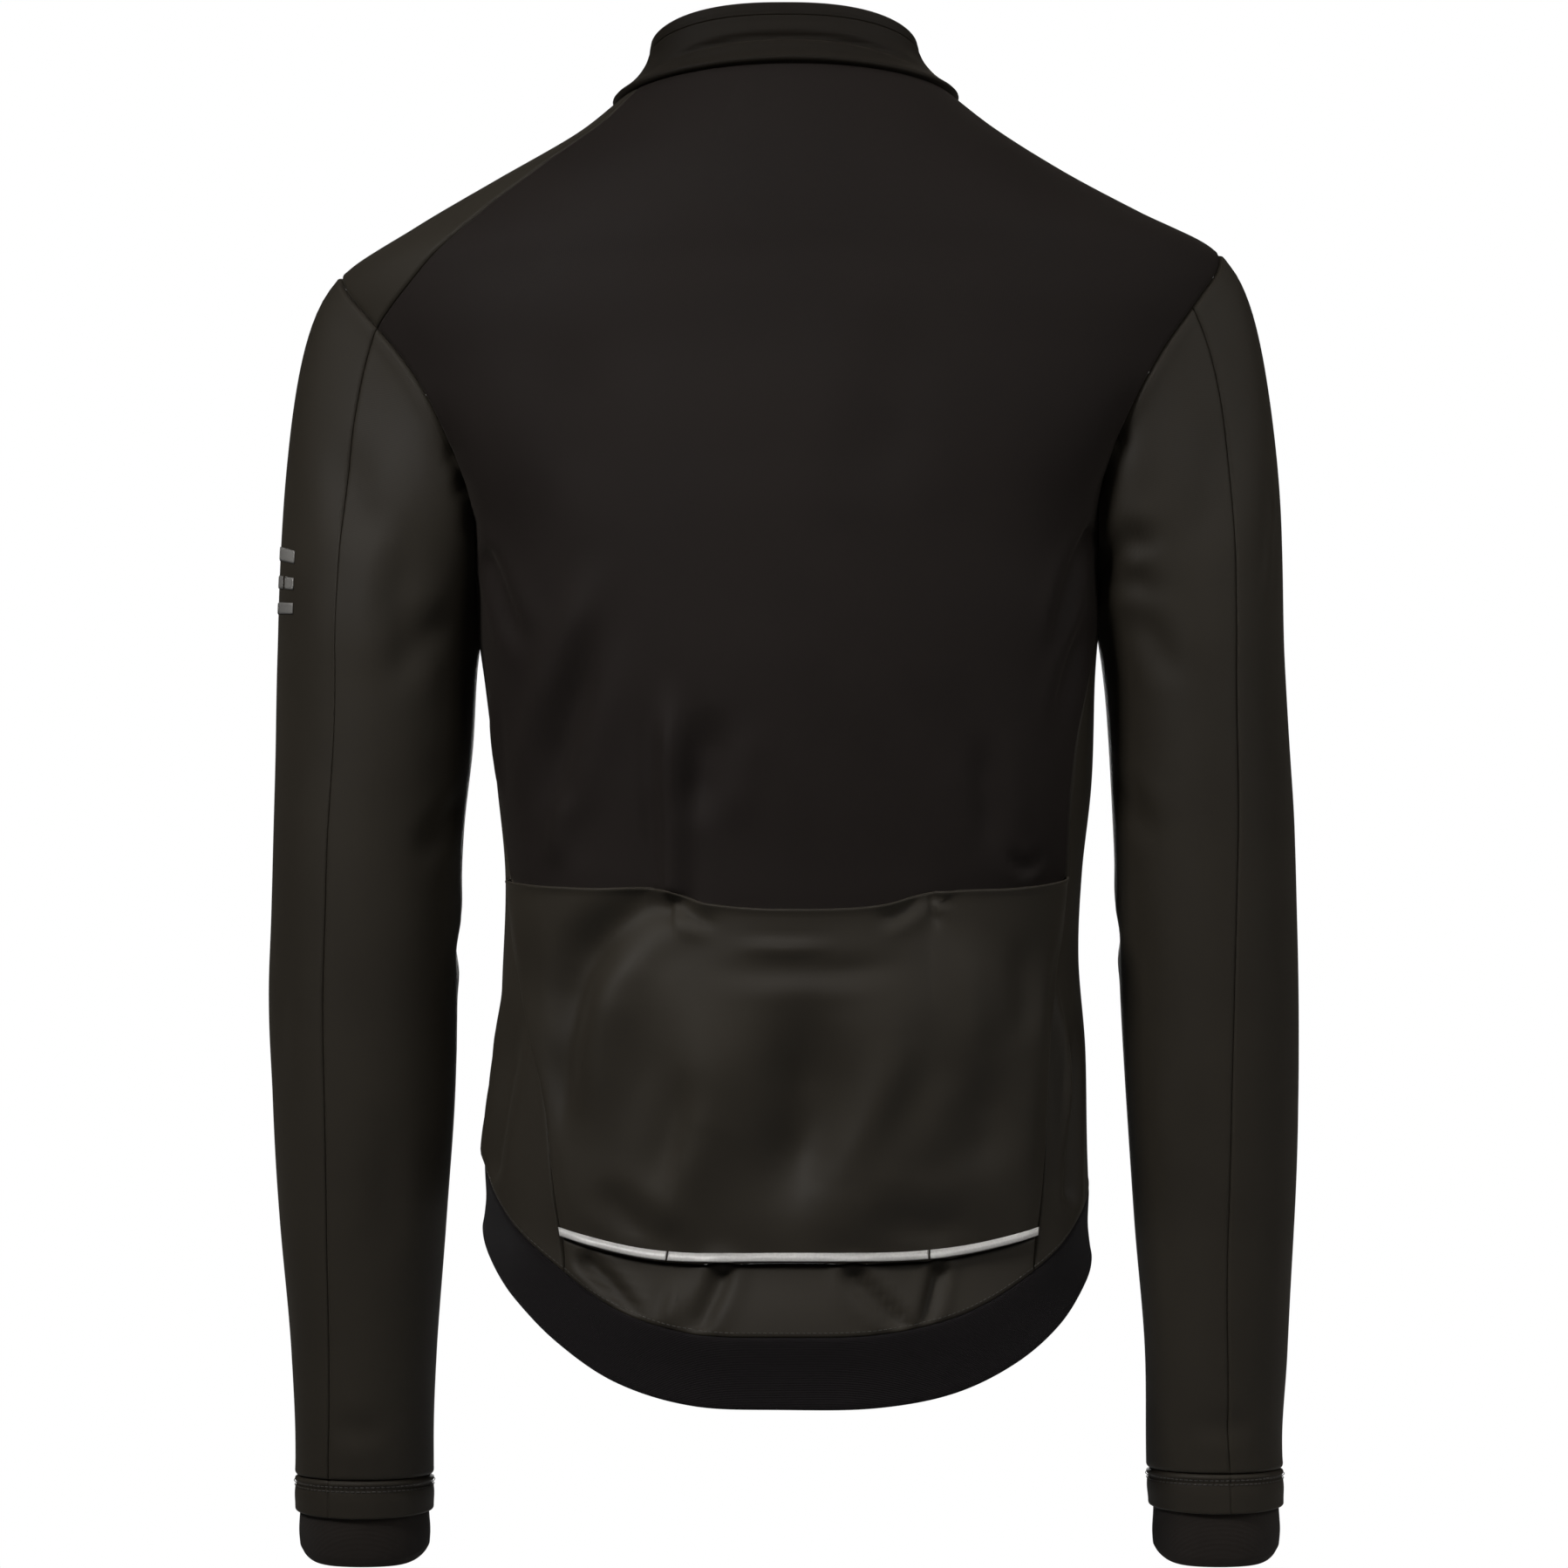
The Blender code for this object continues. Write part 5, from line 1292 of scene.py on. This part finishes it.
def stitch_places(spots, normals):
    """Middle, run and outward direction of each stitch along a line."""
    at = np.arange(STITCH_PITCH / 2, lengths(spots)[-1], STITCH_PITCH)
    centre, outs = along(spots, normals, at)
    ahead, _ = along(spots, normals, at + 0.3)
    behind, _ = along(spots, normals, at - 0.3)
    rights = unit(ahead - behind)
    return centre, rights, unit(outs - rights * np.sum(outs * rights, -1, keepdims=True))


def stitch_rows(name, lines, thread):
    """Rows of stitches: each a five-sided lens of thread with pointed ends, half sunk in the cloth."""
    angle = np.radians(np.arange(0, 360, 72))
    ring = np.stack([0 * angle, np.cos(angle) * STITCH_RADIUS, np.sin(angle) * STITCH_RADIUS], -1)
    reach = np.array([[0.34 * STITCH_LENGTH, 0, 0]])
    tip = np.array([[0.5 * STITCH_LENGTH, 0, 0]])
    shape = np.concatenate([-tip, ring - reach, ring + reach, tip])
    i = np.arange(5)
    j = (i + 1) % 5
    caps = np.concatenate([np.stack([0 * i, 1 + j, 1 + i], -1), np.stack([0 * i + 11, 6 + i, 6 + j], -1)])
    sides = np.stack([1 + i, 1 + j, 6 + j, 6 + i], -1)
    parts = [stitch_places(*line) for line in lines]
    places = [np.concatenate([part[k] for part in parts]) for k in range(3)]
    made = repeated(name, shape, [caps, sides], *places, thread)
    return attach(made, "elastic")


def body_line(places, out=0.1):
    """A line on the body's finished surface, through the middle of a narrow grid beside it."""
    grid = np.stack([places - [0, 0.8], places, places + [0, 0.8]])
    points, normals = body_surface(grid)
    return points[1] + normals[1] * out, normals[1]


def sleeve_ring_line(side, drop, lift):
    """A ring round a sleeve, lifted off its form, and the normals there."""
    form = sleeve_point(side)
    arounds, drops = spread(0, 360, 240)[None, :], np.array([drop - 1, drop, drop + 1])[:, None]
    place = np.stack(np.broadcast_arrays(arounds, drops), -1)
    normals = facing(form, place, sleeve_axis(side))
    return form(place)[1] + normals[1] * lift, normals[1]


def build_stitches(thread):
    """Two rows round each cuff band, one along the hem band and one beside each edge of the zip."""
    cuffs = []
    for side in (1, -1):
        for below, lift in CUFF_STITCHES:
            cuffs.append(sleeve_ring_line(side, SLEEVE_END_DROP[side] + below, lift))
    stitch_rows("cuff_stitches", cuffs, thread)
    ends = [side * front_turn(FRONT_EDGE + 1, hem_level(CENTRE_FRONT)) for side in (1, -1)]
    top = level_edge(spread(ends[0], ends[1], 720), hem_level)
    stitch_rows("hem_stitches", [body_line(top - [0, HEM_STITCH_RISE], 0.05)], thread)
    fronts = []
    for side in (1, -1):
        levels = spread(4, hem_level(CENTRE_FRONT) - 4, 300)
        places = np.stack([side * front_turn(FRONT_EDGE + FRONT_STITCH_INSET, levels), levels], -1)
        fronts.append(body_line(places))
    stitch_rows("front_stitches", fronts, thread)


# Materials

def link(tree, pairs):
    """Join each output to its input."""
    for output, target in pairs:
        tree.links.new(output, target)


def maths(tree, operation, *values):
    """A maths node; each value is a number or another node's output."""
    node = tree.nodes.new("ShaderNodeMath")
    node.operation = operation
    for socket, value in zip(node.inputs, values):
        if isinstance(value, (int, float)):
            socket.default_value = value
        else:
            tree.links.new(value, socket)
    return node.outputs[0]


def group(name, inputs, outputs):
    """An empty shader node group with named sockets: (name, kind, default)."""
    tree = bpy.data.node_groups.new(name, "ShaderNodeTree")
    for label, kind, value in inputs:
        socket = tree.interface.new_socket(label, in_out="INPUT", socket_type=kind)
        if value is not None:
            socket.default_value = value
    for label, kind in outputs:
        tree.interface.new_socket(label, in_out="OUTPUT", socket_type=kind)
    return tree, tree.nodes.new("NodeGroupInput"), tree.nodes.new("NodeGroupOutput")


def noise(tree, vector, scale, detail=2.0, rough=0.5):
    """A noise texture's value, from 0 to 1."""
    node = tree.nodes.new("ShaderNodeTexNoise")
    node.inputs["Scale"].default_value = scale
    node.inputs["Detail"].default_value = detail
    node.inputs["Roughness"].default_value = rough
    tree.links.new(vector, node.inputs["Vector"])
    return node.outputs["Fac"]


def weave_split(tree):
    """The cloth coordinates of a piece, in centimetres: across is output 0 and down is output 1."""
    coordinates = tree.nodes.new("ShaderNodeUVMap")
    coordinates.uv_map = "weave"
    split = tree.nodes.new("ShaderNodeSeparateXYZ")
    link(tree, [(coordinates.outputs[0], split.inputs[0])])
    return split


def knit_group():
    """Relief of fine knit cloth: on cloth coordinates in centimetres, columns of loops per centimetre, each row
    of loops leaning the other way, as the product of two sine waves, with a fine nap over it."""
    tree, given, made = group("knit_relief", [("Loops", "NodeSocketFloat", 16.0), ("Nap", "NodeSocketFloat", 0.4)],
                              [("Height", "NodeSocketFloat")])
    split = weave_split(tree)
    turn = 2 * math.pi
    across = maths(tree, "MULTIPLY", maths(tree, "MULTIPLY", split.outputs[0], given.outputs["Loops"]), turn)
    down = maths(tree, "MULTIPLY", maths(tree, "MULTIPLY", split.outputs[1], given.outputs["Loops"]), turn * 0.7)
    loops = maths(tree, "MULTIPLY", maths(tree, "SINE", across), maths(tree, "SINE", down))
    where = tree.nodes.new("ShaderNodeTexCoord")
    nap = maths(tree, "MULTIPLY", noise(tree, where.outputs["Object"], 1400.0, 1.0), given.outputs["Nap"])
    link(tree, [(maths(tree, "ADD", maths(tree, "MULTIPLY", loops, 0.5), nap), made.inputs["Height"])])
    return tree


def tone_group():
    """Colour that drifts between two tones: slow patches some centimetres wide, and a fine fleck."""
    tree, given, made = group(
        "cloth_tone",
        [("Light", "NodeSocketColor", None), ("Dark", "NodeSocketColor", None), ("Fleck", "NodeSocketFloat", 0.3)],
        [("Color", "NodeSocketColor"), ("Patch", "NodeSocketFloat")])
    where = tree.nodes.new("ShaderNodeTexCoord")
    slow = noise(tree, where.outputs["Object"], 14.0, 3.0)
    fine = noise(tree, where.outputs["Object"], 900.0, 2.0, 0.6)
    fleck = maths(tree, "MULTIPLY", maths(tree, "SUBTRACT", fine, 0.5), given.outputs["Fleck"])
    patch_value = maths(tree, "ADD", slow, fleck)
    stretch = tree.nodes.new("ShaderNodeMapRange")
    stretch.inputs["From Min"].default_value = 0.3
    stretch.inputs["From Max"].default_value = 0.7
    mix = tree.nodes.new("ShaderNodeMix")
    mix.data_type = "RGBA"
    link(tree, [(patch_value, stretch.inputs["Value"]), (stretch.outputs[0], mix.inputs[0]),
                (given.outputs["Dark"], mix.inputs[6]), (given.outputs["Light"], mix.inputs[7]),
                (mix.outputs[2], made.inputs["Color"]), (stretch.outputs[0], made.inputs["Patch"])])
    return tree


def use(tree, made, **values):
    """A group placed in a tree, with its own values."""
    node = tree.nodes.new("ShaderNodeGroup")
    node.node_tree = made
    for name, value in values.items():
        node.inputs[name].default_value = value
    return node


def new_material(name, tone, shades, fleck):
    """A material with a Principled shader whose base colour drifts between two shades."""
    made = bpy.data.materials.new(name)
    made.use_nodes = True
    tree = made.node_tree
    shader = tree.nodes["Principled BSDF"]
    light, dark = shades
    colour = use(tree, tone, Light=(*light, 1), Dark=(*dark, 1), Fleck=fleck)
    link(tree, [(colour.outputs["Color"], shader.inputs["Base Color"])])
    return made, tree, shader, colour


def add_bump(tree, shader, height, strength, distance):
    """Relief on a shader from a height, distance metres deep."""
    bump = tree.nodes.new("ShaderNodeBump")
    bump.inputs["Strength"].default_value = strength
    bump.inputs["Distance"].default_value = distance
    link(tree, [(height, bump.inputs["Height"]), (bump.outputs[0], shader.inputs["Normal"])])


def vary_roughness(tree, shader, value, rough, by):
    """Roughness that follows a value from 0 to 1, from rough - by to rough + by."""
    ramp = tree.nodes.new("ShaderNodeMapRange")
    ramp.inputs["To Min"].default_value = rough - by
    ramp.inputs["To Max"].default_value = rough + by
    link(tree, [(value, ramp.inputs["Value"]), (ramp.outputs[0], shader.inputs["Roughness"])])


def cloth_material(name, knit, tone, shades, fleck, loops, rough, sheen, shine):
    """Brushed cloth: drifting tone, knit relief and a soft sheen at grazing angles."""
    made, tree, shader, colour = new_material(name, tone, shades, fleck)
    height = use(tree, knit, Loops=loops, Nap=0.5)
    add_bump(tree, shader, height.outputs["Height"], 0.3, 0.0001)
    vary_roughness(tree, shader, colour.outputs["Patch"], rough, 0.05)
    shader.inputs["Sheen Weight"].default_value = sheen
    shader.inputs["Sheen Roughness"].default_value = 0.45
    shader.inputs["Sheen Tint"].default_value = (*SHEEN, 1)
    shader.inputs["Specular IOR Level"].default_value = shine
    return made


def rib_material(name, tone, shades, ribs):
    """Ribbed elastic or tape: ribs per centimetre, the size of a sine wave down the cloth, crossed by a finer knit."""
    made, tree, shader, _ = new_material(name, tone, shades, 0.5)
    split = weave_split(tree)
    down = maths(tree, "SINE", maths(tree, "MULTIPLY", split.outputs[1], ribs * 2 * math.pi))
    across = maths(tree, "SINE", maths(tree, "MULTIPLY", split.outputs[0], 22 * 2 * math.pi))
    height = maths(tree, "ADD", maths(tree, "ABSOLUTE", down), maths(tree, "MULTIPLY", across, 0.3))
    add_bump(tree, shader, height, 0.6, 0.0003)
    shader.inputs["Roughness"].default_value = 0.85
    shader.inputs["Sheen Weight"].default_value = 0.02
    shader.inputs["Specular IOR Level"].default_value = 0.08
    return made


def grain_material(name, tone, shades, fleck, rough, metallic=0.0, grain=0.3):
    """Film, moulded plastic or thread: drifting tone and a fine grain."""
    made, tree, shader, _ = new_material(name, tone, shades, fleck)
    where = tree.nodes.new("ShaderNodeTexCoord")
    fine = noise(tree, where.outputs["Object"], 1500.0)
    vary_roughness(tree, shader, fine, rough, 0.08)
    add_bump(tree, shader, fine, grain, 0.0001)
    shader.inputs["Metallic"].default_value = metallic
    return made


# Floor, light and camera

def build_stage(tone):
    """A round pale floor well below the jacket, and a white surround."""
    angle = np.linspace(0, 2 * np.pi, FLOOR_SIDES + 1)[:-1]
    ring = np.stack([np.cos(angle), np.sin(angle), 0 * angle], -1)
    top = ring * FLOOR_RADIUS - [0, 0, FLOOR_DROP]
    verts = np.concatenate([top, top - [0, 0, FLOOR_THICKNESS]])
    i = np.arange(FLOOR_SIDES)
    j = (i + 1) % FLOOR_SIDES
    sides = np.stack([i, i + FLOOR_SIDES, j + FLOOR_SIDES, j], -1)
    faces = [i.tolist(), (i[::-1] + FLOOR_SIDES).tolist()] + sides.tolist()
    finish = grain_material("pale_floor", tone, PALE_GREY, 0.1, 0.7, grain=0.05)
    floor = mesh_object("floor", verts, faces, None, finish)
    floor.data.shade_flat()
    world = bpy.data.worlds.new("white_surround")
    world.use_nodes = True
    tree = world.node_tree
    seen, lit = tree.nodes["Background"], tree.nodes.new("ShaderNodeBackground")
    seen.inputs["Color"].default_value = (1, 1, 1, 1)
    seen.inputs["Strength"].default_value = 1.0
    lit.inputs["Color"].default_value = (1, 1, 1, 1)
    lit.inputs["Strength"].default_value = AMBIENT
    path, mix = tree.nodes.new("ShaderNodeLightPath"), tree.nodes.new("ShaderNodeMixShader")
    link(tree, [(path.outputs["Is Camera Ray"], mix.inputs[0]), (lit.outputs[0], mix.inputs[1]),
                (seen.outputs[0], mix.inputs[2]), (mix.outputs[0], tree.nodes["World Output"].inputs["Surface"])])
    bpy.context.scene.world = world


def aim(thing, spot, target):
    """Place a light or the camera and turn it to look at a point."""
    thing.location = spot
    thing.rotation_euler = (Vector(target) - Vector(spot)).to_track_quat("-Z", "Y").to_euler()


def build_lights():
    """Soft boxes: three facing the jacket's back from its left and right, one beside it, a small one overhead and
    a large one in front. The key and the overhead one have narrow beams."""
    for name, spot, target, size, watts, beam in LIGHTS:
        data = bpy.data.lights.new(name, "AREA")
        data.shape = "RECTANGLE"
        data.size, data.size_y = size
        data.energy = watts
        data.spread = math.radians(beam)
        light = bpy.data.objects.new(name, data)
        bpy.context.collection.objects.link(light)
        aim(light, spot, target)


def build_camera():
    """The camera straight behind the jacket, level with its middle."""
    data = bpy.data.cameras.new("camera")
    data.sensor_width = SENSOR
    data.lens = LENS
    camera = bpy.data.objects.new("camera", data)
    bpy.context.collection.objects.link(camera)
    aim(camera, (0, CAMERA_AWAY, CAMERA_HEIGHT), (0, 0, CAMERA_HEIGHT))
    bpy.context.scene.camera = camera
    bpy.context.scene.view_settings.view_transform = "Standard"


def main():
    """Build the finishes, then every piece, and the stage round them."""
    knit, tone = knit_group(), tone_group()
    olive = cloth_material("olive_softshell", knit, tone, OLIVE, fleck=0.35, loops=17, rough=0.66, sheen=0.03,
                           shine=0.15)
    black = cloth_material("black_softshell", knit, tone, BLACK, fleck=0.35, loops=17, rough=0.7, sheen=0.02,
                           shine=0.07)
    fine = cloth_material("collar_jersey", knit, tone, COLLAR_OLIVE, fleck=0.3, loops=20, rough=0.68, sheen=0.05,
                          shine=0.1)
    band = rib_material("hem_elastic", tone, HEM_BLACK, 7)
    elastic = rib_material("cuff_elastic", tone, CUFF_BROWN, 9)
    film = grain_material("reflective_film", tone, BRIGHT_FILM, 0.8, 0.5, metallic=0.1)
    dull_film = grain_material("sleeve_film", tone, DULL_FILM, 0.8, 0.5, metallic=0.1)
    tape = rib_material("zip_tape_weave", tone, TAPE_BLACK, 12)
    hard = grain_material("zip_plastic", tone, HARD_BLACK, 0.3, 0.38)
    thread = grain_material("thread", tone, THREAD_BROWN, 0.8, 0.75)
    build_back(black)
    build_pocket(olive, film)
    build_lower_back(olive)
    build_collar(fine)
    build_hem_band(band)
    for side in (1, -1):
        build_side_panel(side, olive)
        build_front(side, olive)
        build_sleeve(side, olive)
        build_cuffs(side, olive, elastic)
    build_bars(dull_film)
    build_zip_tapes(tape)
    build_teeth(hard)
    build_stitches(thread)
    for node in ("zip_box", "zip_slider", "zip_pull_tab"):
        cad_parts[node].material_slots[0].material = hard
    build_stage(tone)
    build_lights()
    build_camera()


main()
